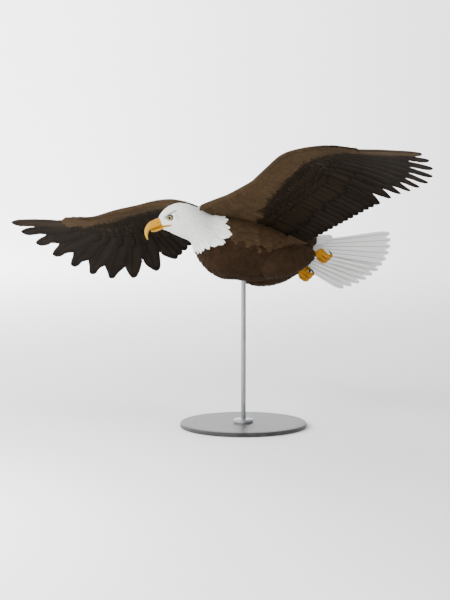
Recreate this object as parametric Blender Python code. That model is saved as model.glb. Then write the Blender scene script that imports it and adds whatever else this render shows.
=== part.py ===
"""A life-size bald eagle in banking flight, held over a round base by one upright rod.

Metres, +Z up. The bird flies along -Y with its left wing towards +X, and the origin is the centre of the
base's underside. The body, wings and tail are laid out in the bird's own axes (x to its left, y towards its
tail, z up through its back) and hang on the empty bird_axes, which pitches and banks them. The head hangs
on head_axes, which stays level while the body banks.
"""

from math import cos, pi, radians, sin

import bmesh
import bpy
from mathutils import Euler, Matrix, Quaternion, Vector

# ---- how the bird is held -------------------------------------------------------------------------
BODY_HEIGHT = 0.62  # of the bird's own origin, between the shoulders, over the floor
BODY_FORWARD = 0.035  # how far that origin lies ahead of the rod
NOSE_UP = radians(11)
BANK = radians(15)  # left wing up
HEAD_TURN = radians(18)  # towards the bird's right
HEAD_DOWN = radians(19)
GAP = 0.0004  # between touching pieces

# ---- body: half width, centre height, half height at stations from the neck's base to the tail ----
TRUNK = (  # y, half width, centre z, half height, roll in degrees
    (-0.128, 0.063, 0.002, 0.073, 0),
    (-0.090, 0.080, -0.011, 0.096, 0),
    (-0.035, 0.095, -0.0215, 0.1095, 0),
    (0.030, 0.102, -0.0195, 0.1075, 0),
    (0.090, 0.101, -0.0200, 0.1030, 0),
    (0.150, 0.092, -0.0155, 0.0915, 2),
    (0.205, 0.084, -0.0060, 0.0740, 8),
    (0.250, 0.080, 0.0080, 0.0505, 17),
    (0.300, 0.080, 0.0030, 0.0180, 28),
)
TAIL_TWIST = radians(28)
TRUNK_ENDS = -0.118  # where the trunk meets the neck
COVERTS_START = 0.258  # where the trunk meets the white tail coverts
RING = 18  # points round a body section

# ---- head, in its own axes from the point between the eyes: forward, half width, top, bottom ------
HEAD_AT = Vector((0.0, -0.248, 0.030))  # in the bird's axes
HEAD = (
    (0.031, 0.0180, 0.0155, -0.0235),
    (0.021, 0.0275, 0.0245, -0.0300),
    (0.006, 0.0370, 0.0330, -0.0450),
    (-0.010, 0.0425, 0.0385, -0.0610),
    (-0.028, 0.0455, 0.0405, -0.0770),
    (-0.046, 0.0480, 0.0385, -0.0920),
    (-0.064, 0.0510, 0.0350, -0.1040),
)
HEAD_ENDS = -0.058  # where the head meets the neck
BROW = 0.0035  # how far the ridge over each eye stands out
NECK_STEPS = 5
EYE_AT = Vector((0.0300, 0.001, 0.0085))
EYE_RADIUS = 0.0105

# ---- bill: distance forward, top, bottom, half width -----------------------------------------------
BILL_BASE = 0.0314
UPPER_BILL = (
    (BILL_BASE, 0.0148, -0.0105, 0.0168),
    (0.0420, 0.0154, -0.0110, 0.0158),
    (0.0525, 0.0150, -0.0115, 0.0142),
)
CERE_ENDS = 0.0480
HOOK_CENTRE = Vector((0.0525, -0.0240))  # of the culmen's arc: forward, up
HOOK_RADIUS = 0.0390
HOOK_SWEEP = radians(114)
HOOK_STEPS = 8
LOWER_BILL = (
    (BILL_BASE, -0.0117, -0.0220, 0.0150),
    (0.0440, -0.0122, -0.0230, 0.0135),
    (0.0570, -0.0127, -0.0224, 0.0105),
    (0.0680, -0.0140, -0.0190, 0.0060),
)

# ---- wings: flat layout, u out along the span and v backwards from the shoulder ---------------------
SHOULDER = Vector((0.075, -0.030, 0.050))
WRIST = Vector((0.365, -0.020))
HAND_BONES = 0.135
LEADING_EDGE = ((0.0, -0.135), (0.09, -0.093), (0.20, -0.066), (0.36, -0.068))
HAND_FRONT = -0.044  # v of the leading edge at the outermost primary
SECONDARIES = 15
PRIMARIES = 10
PRIMARY_LENGTHS = (0.315, 0.323, 0.334, 0.350, 0.368, 0.392, 0.412, 0.426, 0.434, 0.428)
PRIMARY_FIRST, PRIMARY_LAST = radians(87), radians(6)  # angle back from the span, inner and outer
COVERT_SHARE_INNER, COVERT_SHARE_OUTER = 0.45, 0.34  # of a primary's length that coverts hide
SECONDARY_TIPS = (0.250, 0.308)  # v of the trailing edge at the body and at the wrist
SECONDARY_COVERTS = (0.135, 0.152)  # v of the coverts' edge at the body and at the wrist
NOTCH_INNER, NOTCH_OUTER = 0.90, 0.60  # how far out neighbouring flight feathers stay joined
FEATHER_HALF = 0.023
CAMBER = 0.018
CAMBER_CREST, CAMBER_REACH = 0.08, 0.20
ARM_THICK = (0.046, 0.034, 0.024, 0.009)  # at the shoulder, elbow, wrist and outermost primary
COVERT_EDGE_THICK = 0.0045
VANE_THICK, SHAFT_THICK, TIP_THICK = 0.0018, 0.0040, 0.0012
ELBOW_STATION, WRIST_STATION = 6, 15  # feather boundaries where the arm is divided
ROOT_BURIED = 0.055  # how far each wing runs on into the body before the body's shape is cut from it
WINGS = {  # side; degrees that the arm and hand are raised, the wing is swept back, the wrist is bent
    # back, the arm and hand are twisted and the tips lifted; spans where the bend and the lift start and end
    "left": (1, 13, -11.5, -3.5, 7, 12, 12, 4, (0.30, 0.60), (0.70, 1.0)),
    "right": (-1, 32, -8, -26, 1, -4, 29, 20, (0.06, 0.28), (0.38, 0.60)),
}

# ---- tail ---------------------------------------------------------------------------------------
TAIL_FEATHERS = 12
TAIL_SPREAD = radians(21)  # each side
TAIL_PIVOT = 0.14  # y of the point that the feathers fan from
TAIL_START = 0.3004
TAIL_LENGTH = 0.452  # from the pivot to the middle tips
TAIL_NOTCH = 0.90
TAIL_DISH = 0.7  # upward curve of the fan, per metre
TAIL_DOWN = radians(1.5)

# ---- legs ---------------------------------------------------------------------------------------
FOOT_AT = Vector((0.057, 0.293, -0.0335))
FEET_ROLL = radians(22)  # with the tail coverts
FOOT_DOWN = radians(8)
TOE_RADIUS = 0.0068
TOE_SPACING = 0.0155
TOE_CURL = 0.0165
TALON_CURL = 0.0125
TALON_RADIUS = 0.0036

# ---- stand --------------------------------------------------------------------------------------
BASE_RADIUS, BASE_THICK, BASE_BEVEL = 0.21, 0.014, 0.003
FLANGE_RADIUS, FLANGE_THICK, FLANGE_BEVEL = 0.032, 0.010, 0.002
ROD_RADIUS = 0.008
SOCKET_DEPTH = 0.070
ROUND = 40


# ---- helpers --------------------------------------------------------------------------------------
def clear_scene():
    for obj in list(bpy.data.objects):
        bpy.data.objects.remove(obj)


def material(name, colour, roughness, metallic=0.0):
    made = bpy.data.materials.new(name)
    made.use_nodes = True
    shader = made.node_tree.nodes["Principled BSDF"]
    shader.inputs["Base Color"].default_value = (*colour, 1.0)
    shader.inputs["Roughness"].default_value = roughness
    shader.inputs["Metallic"].default_value = metallic
    return made


def empty(name, matrix, parent=None):
    made = bpy.data.objects.new(name, None)
    bpy.context.scene.collection.objects.link(made)
    made.parent = parent
    made.matrix_local = matrix
    return made


def add_object(name, points, faces, finish=None, parent=None, crease=35):
    """An object from points and faces, with its faces turned to point out."""
    mesh = bpy.data.meshes.new(name)
    mesh.from_pydata([tuple(p) for p in points], [], faces)
    bm = bmesh.new()
    bm.from_mesh(mesh)
    bmesh.ops.recalc_face_normals(bm, faces=bm.faces)
    bm.to_mesh(mesh)
    bm.free()
    mesh.shade_smooth()
    mesh.set_sharp_from_angle(angle=radians(crease))
    obj = bpy.data.objects.new(name, mesh)
    bpy.context.scene.collection.objects.link(obj)
    obj.parent = parent
    if finish:
        mesh.materials.append(finish)
    else:
        obj.hide_render = True
        obj.display_type = "WIRE"
    return obj


def between(start, end, share):
    return start + (end - start) * share


def ease(value, start, end):
    t = min(max((value - start) / (end - start), 0.0), 1.0)
    return t * t * (3 - 2 * t)


def boolean(obj, other, operation="DIFFERENCE"):
    cut = obj.modifiers.new(operation.lower(), "BOOLEAN")
    cut.operation = operation
    cut.solver = "EXACT"
    cut.object = other


def loft(rings):
    """Points and faces of a closed skin over rings of equal length, with a cap at each end."""
    count = len(rings[0])
    points = [p for ring in rings for p in ring]
    faces = []
    for a in range(0, (len(rings) - 1) * count, count):
        for k in range(count):
            n, up = (k + 1) % count, a + count
            faces += [(a + k, a + n, up + n), (a + k, up + n, up + k)]
    last = (len(rings) - 1) * count
    faces += [tuple(range(count)), tuple(range(last, last + count))]
    return points, faces


def section(half_width, top, bottom, count=RING, power=2.15):
    """A rounded outline in x and z: half_width each side, up to top and down to bottom from the centre."""
    outline = []
    for k in range(count):
        c, s = cos(2 * pi * k / count), sin(2 * pi * k / count)
        x = half_width * abs(c) ** (2 / power) * (1 if c >= 0 else -1)
        z = (top if s >= 0 else bottom) * abs(s) ** (2 / power) * (1 if s >= 0 else -1)
        outline.append(Vector((x, 0.0, z)))
    return outline


def slab(name, points, faces, near, far, finish, parent):
    """The part of a closed skin between two planes, each a (point, normal) with the kept side behind it."""
    bm = bmesh.new()
    made = [bm.verts.new(p) for p in points]
    for face in faces:
        bm.faces.new([made[k] for k in face])
    for plane in (near, far):
        if plane:
            geometry = bm.verts[:] + bm.edges[:] + bm.faces[:]
            cut = bmesh.ops.bisect_plane(
                bm, geom=geometry, plane_co=plane[0], plane_no=plane[1], clear_outer=True
            )
            rim = [e for e in cut["geom_cut"] if isinstance(e, bmesh.types.BMEdge)]
            bmesh.ops.holes_fill(bm, edges=rim)
    bm.verts.index_update()
    kept = [v.co.copy() for v in bm.verts]
    kept_faces = [tuple(v.index for v in face.verts) for face in bm.faces]
    bm.free()
    return add_object(name, kept, kept_faces, finish, parent)


def plate(points, faces, place):
    """A thin solid from a flat sheet. Each point is (u, v, thickness), and place(u, v, w) bends it."""
    top = [place(u, v, t / 2) for u, v, t in points]
    under = [place(u, v, -t / 2) for u, v, t in points]
    count = len(points)
    solid = list(faces) + [tuple(k + count for k in reversed(face)) for face in faces]
    uses = {}
    for face in faces:
        for a, b in zip(face, face[1:] + face[:1]):
            uses.setdefault(frozenset((a, b)), []).append((a, b))
    for found in uses.values():
        if len(found) == 1:
            a, b = found[0]
            solid.append((b, a, a + count, b + count))
    return top + under, solid


# ---- body, neck and head ----------------------------------------------------------------------------
def head_matrix():
    """The head's axes in the bird's, level across while the body banks."""
    body = Euler((-NOSE_UP, 0, 0)).to_matrix() @ Euler((0, -BANK, 0)).to_matrix()
    level = Euler((0, 0, -HEAD_TURN)).to_matrix() @ Euler((HEAD_DOWN, 0, 0)).to_matrix()
    return Matrix.Translation(HEAD_AT) @ (body.transposed() @ level).to_4x4()


def head_section(forward, half_width, top, bottom, grow):
    """One section of the head, with the ridge that shades the eye."""
    ring = section(half_width + grow, top + grow, -bottom + grow, power=2.3)
    ridge = BROW * max(0.0, 1 - ((forward + 0.004) / 0.028) ** 2)
    for point in ring:
        side = 1 if point.x > 0 else -1
        if 0.45 * top < point.z < 0.95 * top:
            point.x += side * ridge
        point.y = -forward
    return ring


def body_rings(grow=0.0):
    """Rings from the tail coverts to the forehead, in the bird's axes."""
    rings = []
    for y, half_width, centre, half_height, roll in reversed(TRUNK):
        tilt = Matrix.Rotation(-radians(roll), 3, "Y")
        ring = section(half_width + grow, half_height + grow, half_height + grow)
        rings.append([tilt @ p + Vector((0, y, centre)) for p in ring])
    head = head_matrix()
    start_y, start_width, start_z, start_height, _ = TRUNK[0]
    far, far_width, far_top, far_bottom = HEAD[-1]
    start = Vector((0, start_y, start_z))
    end = head @ Vector((0, -far, 0))
    pull = (start - end).length * 0.45
    out = start + Vector((0, -pull, 0))
    back = end + (head.to_3x3() @ Vector((0, 1, 0)) + Vector((0, 1, 0))) * pull * 0.4
    for k in range(1, NECK_STEPS):
        t = k / NECK_STEPS
        centre = (
            start * (1 - t) ** 3 + out * 3 * t * (1 - t) ** 2 + back * 3 * t * t * (1 - t) + end * t**3
        )
        turn = Quaternion().slerp(head.to_quaternion(), t).to_matrix()
        width = between(start_width, far_width, t**1.6) + grow
        top = between(start_height, far_top, min(1.0, t * 1.2)) + grow
        bottom = between(start_height, -far_bottom, t**1.8) + grow
        rings.append([turn @ p + centre for p in section(width, top, bottom)])
    for station in reversed(HEAD):
        rings.append([head @ p for p in head_section(*station, grow)])
    return rings


def build_body(axes, finish):
    """Head, neck, trunk and tail coverts, parted from one skin by thin cuts."""
    rings = body_rings()
    last = len(TRUNK) - 1
    head = head_matrix()
    forward = head.to_3x3() @ Vector((0, -1, 0))
    nape = head @ Vector((0, -HEAD_ENDS, 0))
    neck_base = Vector((0, TRUNK_ENDS, 0))
    vent = Vector((0, COVERTS_START, 0))
    ahead = Vector((0, -1, 0))
    half = GAP / 2
    cuts = {  # rings, near plane, far plane, finish
        "head": (rings[last + NECK_STEPS - 1 :], (nape + forward * half, -forward), None, "white_feathers"),
        "neck": (
            rings[last - 1 : last + NECK_STEPS + 2],
            (nape - forward * half, forward),
            (neck_base + ahead * half, -ahead),
            "white_feathers",
        ),
        "trunk": (
            rings[: last + 1],
            (neck_base - ahead * half, ahead),
            (vent + ahead * half, -ahead),
            "brown_feathers",
        ),
        "tail_coverts": (rings[: last + 1], (vent - ahead * half, ahead), None, "white_feathers"),
    }
    return {
        name: slab(name, *loft(some), near, far, finish[colour], axes)
        for name, (some, near, far, colour) in cuts.items()
    }


def build_eyes(head_axes, head, finish):
    """The eyeballs, and the sockets that they sit in."""
    for side, name in ((1, "left"), (-1, "right")):
        place = Matrix.Translation((side * EYE_AT.x, -EYE_AT.y, EYE_AT.z))
        for radius, label in ((EYE_RADIUS, f"eye_{name}"), (EYE_RADIUS + GAP, f"socket_{name}")):
            bm = bmesh.new()
            bmesh.ops.create_uvsphere(bm, u_segments=12, v_segments=8, radius=radius, matrix=place)
            bm.verts.index_update()
            points = [v.co.copy() for v in bm.verts]
            faces = [tuple(v.index for v in f.verts) for f in bm.faces]
            bm.free()
            ball = add_object(label, points, faces, finish["eye"] if label[0] == "e" else None, head_axes)
        boolean(head, ball)


# ---- bill -------------------------------------------------------------------------------------------
def bill_section(top, under, half_width, lateral=Vector((1, 0, 0)), count=14):
    """A section between its top and under points, wider below than above."""
    middle, rise = (top + under) / 2, (top - under) / 2
    ring = []
    for k in range(count):
        c, s = cos(2 * pi * k / count), sin(2 * pi * k / count)
        width = half_width * (0.86 - 0.20 * s)
        ring.append(middle + rise * s + lateral * width * c)
    return ring


def upper_bill_rings():
    rings = [
        bill_section(Vector((0, -f, top)), Vector((0, -f, under)), half)
        for f, top, under, half in UPPER_BILL
    ]
    _, _, mouth, half_width = UPPER_BILL[-1]
    for k in range(1, HOOK_STEPS + 1):
        t = k / HOOK_STEPS
        angle = HOOK_SWEEP * t
        crest = HOOK_CENTRE + HOOK_RADIUS * Vector((sin(angle), cos(angle)))
        inner_angle = HOOK_SWEEP * min(1.0, t * 1.02)
        depth = (HOOK_RADIUS - 0.0135) * (1 - t) ** 0.85 + 0.0016
        hollow = HOOK_CENTRE + (HOOK_RADIUS - depth) * Vector((sin(inner_angle), cos(inner_angle)))
        hollow.y = min(hollow.y, mouth) if t < 0.5 else hollow.y
        width = half_width * (1 - t) ** 0.8 + 0.0010
        rings.append(bill_section(Vector((0, -crest.x, crest.y)), Vector((0, -hollow.x, hollow.y)), width))
    return rings


def build_bill(head_axes, finish):
    points, faces = loft(upper_bill_rings())
    ahead = Vector((0, -1, 0))
    seam = Vector((0, -CERE_ENDS, 0))
    half = GAP / 2
    slab("cere", points, faces, (seam - ahead * half, ahead), None, finish["cere"], head_axes)
    slab("bill_upper", points, faces, (seam + ahead * half, -ahead), None, finish["bill"], head_axes)
    lower = [
        bill_section(Vector((0, -f, top)), Vector((0, -f, under)), half_width)
        for f, top, under, half_width in LOWER_BILL
    ]
    add_object("bill_lower", *loft(lower), finish["bill"], head_axes)


# ---- wings --------------------------------------------------------------------------------------------
class Wing:
    """One wing: its flat layout, and the bend that carries the layout into the bird's axes."""

    STEPS = 110

    def __init__(self, side, arm, hand, sweep, wrist, arm_twist, hand_twist, tip, bend, lift):
        self.side = side
        self.wrist_bend = radians(wrist)
        sweep = radians(sweep)
        out = Vector((cos(sweep), sin(sweep), 0))
        back = Vector((-sin(sweep), cos(sweep), 0))
        self.step = 1.1 / self.STEPS
        self.line, self.backs, self.ups = [SHOULDER.copy()], [], []
        for k in range(self.STEPS + 1):
            u = k * self.step
            raised = radians(between(arm, hand, ease(u, *bend)) + tip * ease(u, *lift))
            twist = radians(between(arm_twist, hand_twist, ease(u, 0.10, 0.70)))
            along = out * cos(raised) + Vector((0, 0, sin(raised)))
            up = -out * sin(raised) + Vector((0, 0, cos(raised)))
            self.backs.append(back * cos(twist) - up * sin(twist))
            self.ups.append(up * cos(twist) + back * sin(twist))
            self.line.append(self.line[-1] + along * self.step)
        self.feathers = [self.secondary(k) for k in range(SECONDARIES)]
        self.feathers += [self.primary(k) for k in range(PRIMARIES)]
        self.lay_boundaries()

    def bend(self, u, v, w):
        """Flat span, chord and height to the bird's axes."""
        w += CAMBER * (1 - ((v - CAMBER_CREST) / CAMBER_REACH) ** 2)
        at = min(max(u / self.step, 0.0), self.STEPS - 1e-6)
        k, share = int(at), at - int(at)
        line = self.line[k].lerp(self.line[k + 1], share)
        line += (self.line[1] - self.line[0]) * min(u / self.step, 0.0)
        back = self.backs[k].lerp(self.backs[k + 1], share)
        up = self.ups[k].lerp(self.ups[k + 1], share)
        point = line + back * v + up * w
        return Vector((point.x * self.side, point.y, point.z))

    def on_hand(self, point, share=1.0):
        """A flat point turned about the wrist with the hand."""
        angle = self.wrist_bend * share
        offset = point - WRIST
        return WRIST + Vector(
            (offset.x * cos(angle) - offset.y * sin(angle), offset.x * sin(angle) + offset.y * cos(angle))
        )

    def secondary(self, k):
        """(covert edge, tip) of a secondary, counted from the body."""
        share = (k + 0.5) / SECONDARIES
        u = between(0.012, 0.372, share)
        lean = between(-0.012, 0.004, share)
        base = Vector((u, between(*SECONDARY_COVERTS, share)))
        tip = Vector((u + lean, between(*SECONDARY_TIPS, share)))
        return base, tip

    def primary(self, k):
        """(covert edge, tip) of a primary, counted outwards from the wrist."""
        share = k / (PRIMARIES - 1)
        spread = (1 - share) ** 1.15
        angle = between(PRIMARY_LAST, PRIMARY_FIRST, spread) + self.wrist_bend * between(0.15, 1, share)
        root = self.on_hand(WRIST + Vector((HAND_BONES * share, 0.010 * (1 - share))))
        heading = Vector((cos(angle), sin(angle)))
        length = PRIMARY_LENGTHS[k]
        hidden = between(COVERT_SHARE_INNER, COVERT_SHARE_OUTER, share)
        return root + heading * length * hidden, root + heading * length

    def lay_boundaries(self):
        """Lines between neighbouring feathers: where each starts, where it forks, and the leading edge."""
        bases = [base for base, _ in self.feathers]
        tips = [tip for _, tip in self.feathers]
        count = len(bases)
        inner = [(a + b) / 2 for a, b in zip(bases, bases[1:])]
        self.starts = [bases[0] * 2 - inner[0], *inner, bases[-1] * 2 - inner[-1]]
        self.notches = []
        for k in range(count + 1):
            a, b = tips[max(k - 1, 0)], tips[min(k, count - 1)]
            outer = max(0.0, (k - SECONDARIES - 2) / (PRIMARIES - 2))
            share = between(NOTCH_INNER, NOTCH_OUTER, min(1.0, outer**0.7))
            self.notches.append(self.starts[k].lerp((a + b) / 2, share))
        self.notches[0] = Vector((self.starts[0].x, self.notches[0].y))
        edge = self.starts[-1] - bases[-1]
        self.notches[-1] = bases[-1].lerp(tips[-1], NOTCH_OUTER) + edge
        self.fronts = [self.leading_edge(k) for k in range(count + 1)]

    def leading_edge(self, k):
        """The leading edge's point for feather boundary k."""
        if k <= SECONDARIES:
            u = self.starts[k].x * WRIST.x / self.starts[SECONDARIES].x
            for (u0, v0), (u1, v1) in zip(LEADING_EDGE, LEADING_EDGE[1:]):
                if u <= u1:
                    break
            return Vector((u, between(v0, v1, min((u - u0) / (u1 - u0), 1.0))))
        share = (k - SECONDARIES) / PRIMARIES
        along = share * (HAND_BONES + 0.075)
        front = between(LEADING_EDGE[-1][1], HAND_FRONT, ease(share, 0, 0.9))
        return self.on_hand(Vector((WRIST.x + along, front)), ease(share, 0, 0.4))

    def thickness(self, k):
        shoulder, elbow, wrist, outer = ARM_THICK
        if k < ELBOW_STATION:
            return between(shoulder, elbow, k / ELBOW_STATION)
        if k < WRIST_STATION:
            return between(elbow, wrist, (k - ELBOW_STATION) / (WRIST_STATION - ELBOW_STATION))
        count = len(self.feathers)
        return between(wrist, outer, ((k - WRIST_STATION) / (count - WRIST_STATION)) ** 0.7)

    def arm_ring(self, k, inward=0.0):
        """A section of the feathered arm at boundary k, which may lie between two: thick in front, thin
        behind. inward moves it towards the body."""
        low = min(int(k), len(self.feathers) - 1)
        share = k - low
        front = self.fronts[low].lerp(self.fronts[low + 1], share)
        rear = self.starts[low].lerp(self.starts[low + 1], share)
        rear = rear + (front - rear).normalized() * GAP
        thick = between(self.thickness(low), self.thickness(low + 1), share)
        upper, lower = [], []
        for along in (0.0, 0.06, 0.18, 0.38, 0.68, 1.0):
            u, v = front.lerp(rear, along)
            nose = (1 - (1 - min(along / 0.22, 1.0)) ** 2) ** 0.5
            taper = between(thick, COVERT_EDGE_THICK, ease(along, 0.18, 1.0))
            height = max(nose * taper, 0.12 * thick) / 2
            upper.append(self.bend(u - inward, v, height * 1.25))
            lower.append(self.bend(u - inward, v, -height * 0.75))
        return upper + lower[::-1]

    def arm_solid(self, start, end):
        """Points and faces of the arm from one boundary to another, held back a little at each."""
        stations = [start + 0.012, *range(start + 1, end), end - 0.012]
        if start == 0:
            stations[0] = 0
        if end == len(self.feathers):
            stations[-1] = end
        rings = [self.arm_ring(k) for k in stations]
        if start == 0:
            rings.insert(0, self.arm_ring(0, ROOT_BURIED))
        return loft(rings)

    def vanes(self, first, last, joined_rows, finger_rows):
        """Points and faces of the flight feathers from first up to last, joined to where they fork."""
        points, faces = [], []

        def put(flat, thick):
            points.append((flat.x, flat.y, thick))
            return len(points) - 1

        shares = [k / joined_rows for k in range(joined_rows + 1)]
        edges = []
        for k in range(first, last + 1):
            start, notch = self.starts[k], self.notches[k]
            neighbour = self.starts[k + 1] if k == first else self.starts[k - 1]
            if k in (first, last):
                pull = (neighbour - start).normalized() * GAP * 0.6
                start, notch = start + pull, notch + pull
            edges.append([put(start.lerp(notch, s), VANE_THICK) for s in shares])
        for k in range(first, last):
            left, right = edges[k - first], edges[k - first + 1]
            base, tip = self.feathers[k]
            base = (Vector(points[left[0]][:2]) + Vector(points[right[0]][:2])) / 2
            fork = base.lerp(tip, self.fork_share(k, base, tip))
            middle = [put(base.lerp(fork, s), SHAFT_THICK) for s in shares]
            for r in range(joined_rows):
                faces.append((left[r], middle[r], middle[r + 1], left[r + 1]))
                faces.append((middle[r], right[r], right[r + 1], middle[r + 1]))
            self.finger(put, points, faces, (left[-1], middle[-1], right[-1]), fork, tip, finger_rows)
        if first == 0:
            self.root_strip(points, faces, edges[0])
        return points, faces

    def root_strip(self, points, faces, edge):
        """Carries the sheet inwards from its first edge, to be cut by the body."""
        start = len(points)
        points += [(points[k][0] - ROOT_BURIED, points[k][1], VANE_THICK) for k in edge]
        for r in range(len(edge) - 1):
            faces.append((start + r, edge[r], edge[r + 1], start + r + 1))

    def fork_share(self, k, base, tip):
        reach = ((self.notches[k] + self.notches[k + 1]) / 2 - base).dot((tip - base).normalized())
        return min(reach / (tip - base).length, 0.97)

    def finger(self, put, points, faces, row, fork, tip, rows):
        """The free end of one feather: straight sides, then a rounded tip."""
        left, middle, right = row
        along = tip - fork
        across = Vector((-along.y, along.x)).normalized()
        start_left = (Vector(points[left][:2]) - fork).dot(across)
        start_right = (Vector(points[right][:2]) - fork).dot(across)
        offset_left = (Vector(points[left][:2]) - fork).dot(along.normalized())
        offset_right = (Vector(points[right][:2]) - fork).dot(along.normalized())
        long_finger = along.length > 3 * FEATHER_HALF
        for r in range(1, rows + 1):
            share = r / rows
            if long_finger:
                share = share**0.8
            limit = FEATHER_HALF * (0.86 if long_finger else 1.0)
            narrow = (1 - ease(share, 0.62 if long_finger else 0.0, 1.0) * 0.75) if r < rows else 0.25
            blend = ease(share, 0, 0.4 if long_finger else 1.0)
            half_left = between(abs(start_left), min(limit, abs(start_left)), blend) * narrow
            half_right = between(abs(start_right), min(limit, abs(start_right)), blend) * narrow
            centre = fork.lerp(tip, share)
            unit = along.normalized()
            sink_left, sink_right = offset_left * (1 - share), offset_right * (1 - share)
            sign = 1 if start_left > 0 else -1
            thin = between(VANE_THICK, TIP_THICK, share)
            new = (
                put(centre + across * sign * half_left + unit * sink_left, thin),
                put(centre, between(SHAFT_THICK, TIP_THICK * 1.5, share)),
                put(centre - across * sign * half_right + unit * sink_right, thin),
            )
            faces.append((left, middle, new[1], new[0]))
            faces.append((middle, right, new[2], new[1]))
            left, middle, right = new


def build_wing(name, angles, axes, finish, body_cutter):
    wing = Wing(*angles)
    count = len(wing.feathers)
    for label, start, end in (
        ("shoulder", 0, ELBOW_STATION),
        ("forearm", ELBOW_STATION, WRIST_STATION),
        ("hand", WRIST_STATION, count),
    ):
        arm = add_object(
            f"wing_{name}_{label}", *wing.arm_solid(start, end), finish["brown_feathers"], axes
        )
        if label == "shoulder":
            boolean(arm, body_cutter)
    for label, first, last, rows in (
        ("secondaries", 0, SECONDARIES, (2, 2)),
        ("primaries", SECONDARIES, count, (2, 3)),
    ):
        points, faces = wing.vanes(first, last, *rows)
        solid = plate(points, faces, wing.bend)
        vanes = add_object(f"wing_{name}_{label}", *solid, finish["flight_feathers"], axes)
        if label == "secondaries":
            boolean(vanes, body_cutter)


# ---- tail -------------------------------------------------------------------------------------------
def tail_place(x, y, w):
    """Flat fan to the bird's axes: dished, and twisted with the tail coverts."""
    point = Vector((x, 0, w + TAIL_DISH * x * x - (y - TAIL_START) * sin(TAIL_DOWN)))
    centre = Vector((0, y, TRUNK[-1][2]))
    return Matrix.Rotation(-TAIL_TWIST, 3, "Y") @ point + centre


def build_tail(axes, finish):
    """Twelve feathers joined to where their tips part."""
    points, faces = [], []

    def put(x, y, thick):
        points.append((x, y, thick))
        return len(points) - 1

    def ray(angle, reach):
        return Vector((sin(angle), cos(angle))) * reach + Vector((0, TAIL_PIVOT))

    step = 2 * TAIL_SPREAD / (TAIL_FEATHERS - 1)
    rows = 3
    lines = []
    for k in range(2 * TAIL_FEATHERS + 1):
        angle = -TAIL_SPREAD - step / 2 + k * step / 2
        length = TAIL_LENGTH * (1 - 0.06 * (angle / TAIL_SPREAD) ** 2)
        near = (TAIL_START - TAIL_PIVOT) / cos(angle)
        on_shaft = k % 2
        line = []
        for r in range(rows + 1):
            reach = between(near, length * TAIL_NOTCH, r / rows)
            x, y = ray(angle, reach)
            line.append(put(x, y, SHAFT_THICK if on_shaft else VANE_THICK))
        if on_shaft:
            for share, side in ((0.6, 1), (1.0, 0.5)):
                reach = length * between(TAIL_NOTCH, 1.0, share)
                x, y = ray(angle, reach)
                across = Vector((cos(angle), -sin(angle))) * sin(step / 2) * reach
                wide = 0.92 if side == 1 else 0.42
                line.append(
                    (
                        put(x - across.x * wide, y - across.y * wide, TIP_THICK),
                        put(x, y, between(SHAFT_THICK, TIP_THICK, share)),
                        put(x + across.x * wide, y + across.y * wide, TIP_THICK),
                    )
                )
        lines.append(line)
    for k in range(1, 2 * TAIL_FEATHERS, 2):
        left, shaft, right = lines[k - 1], lines[k], lines[k + 1]
        for r in range(rows):
            faces.append((left[r], shaft[r], shaft[r + 1], left[r + 1]))
            faces.append((shaft[r], right[r], right[r + 1], shaft[r + 1]))
        row = (left[rows], shaft[rows], right[rows])
        for new in shaft[rows + 1 :]:
            faces.append((row[0], row[1], new[1], new[0]))
            faces.append((row[1], row[2], new[2], new[1]))
            row = new
    add_object("tail", *plate(points, faces, tail_place), finish["white_feathers"], axes)


# ---- legs -------------------------------------------------------------------------------------------
def arc_path(start, angle, turn, radius, steps):
    """Points and directions along an arc in the y-z plane, from angle, turning by turn."""
    path, point, sign = [], Vector(start), (1 if turn > 0 else -1)
    for k in range(steps + 1):
        a = angle + turn * k / steps
        y = radius * sign * (sin(a) - sin(angle))
        z = radius * sign * (cos(angle) - cos(a))
        path.append((point + Vector((0, y, z)), Vector((0, cos(a), sin(a)))))
    return path


def tube(path, radii, sides=7):
    rings = []
    for (centre, along), radius in zip(path, radii):
        across = (Vector((1, 0, 0)) - along * along.x).normalized()
        up = across.cross(along)
        rings.append(
            [
                centre + (across * cos(2 * pi * k / sides) + up * sin(2 * pi * k / sides)) * radius
                for k in range(sides)
            ]
        )
    return loft(rings)


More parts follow.
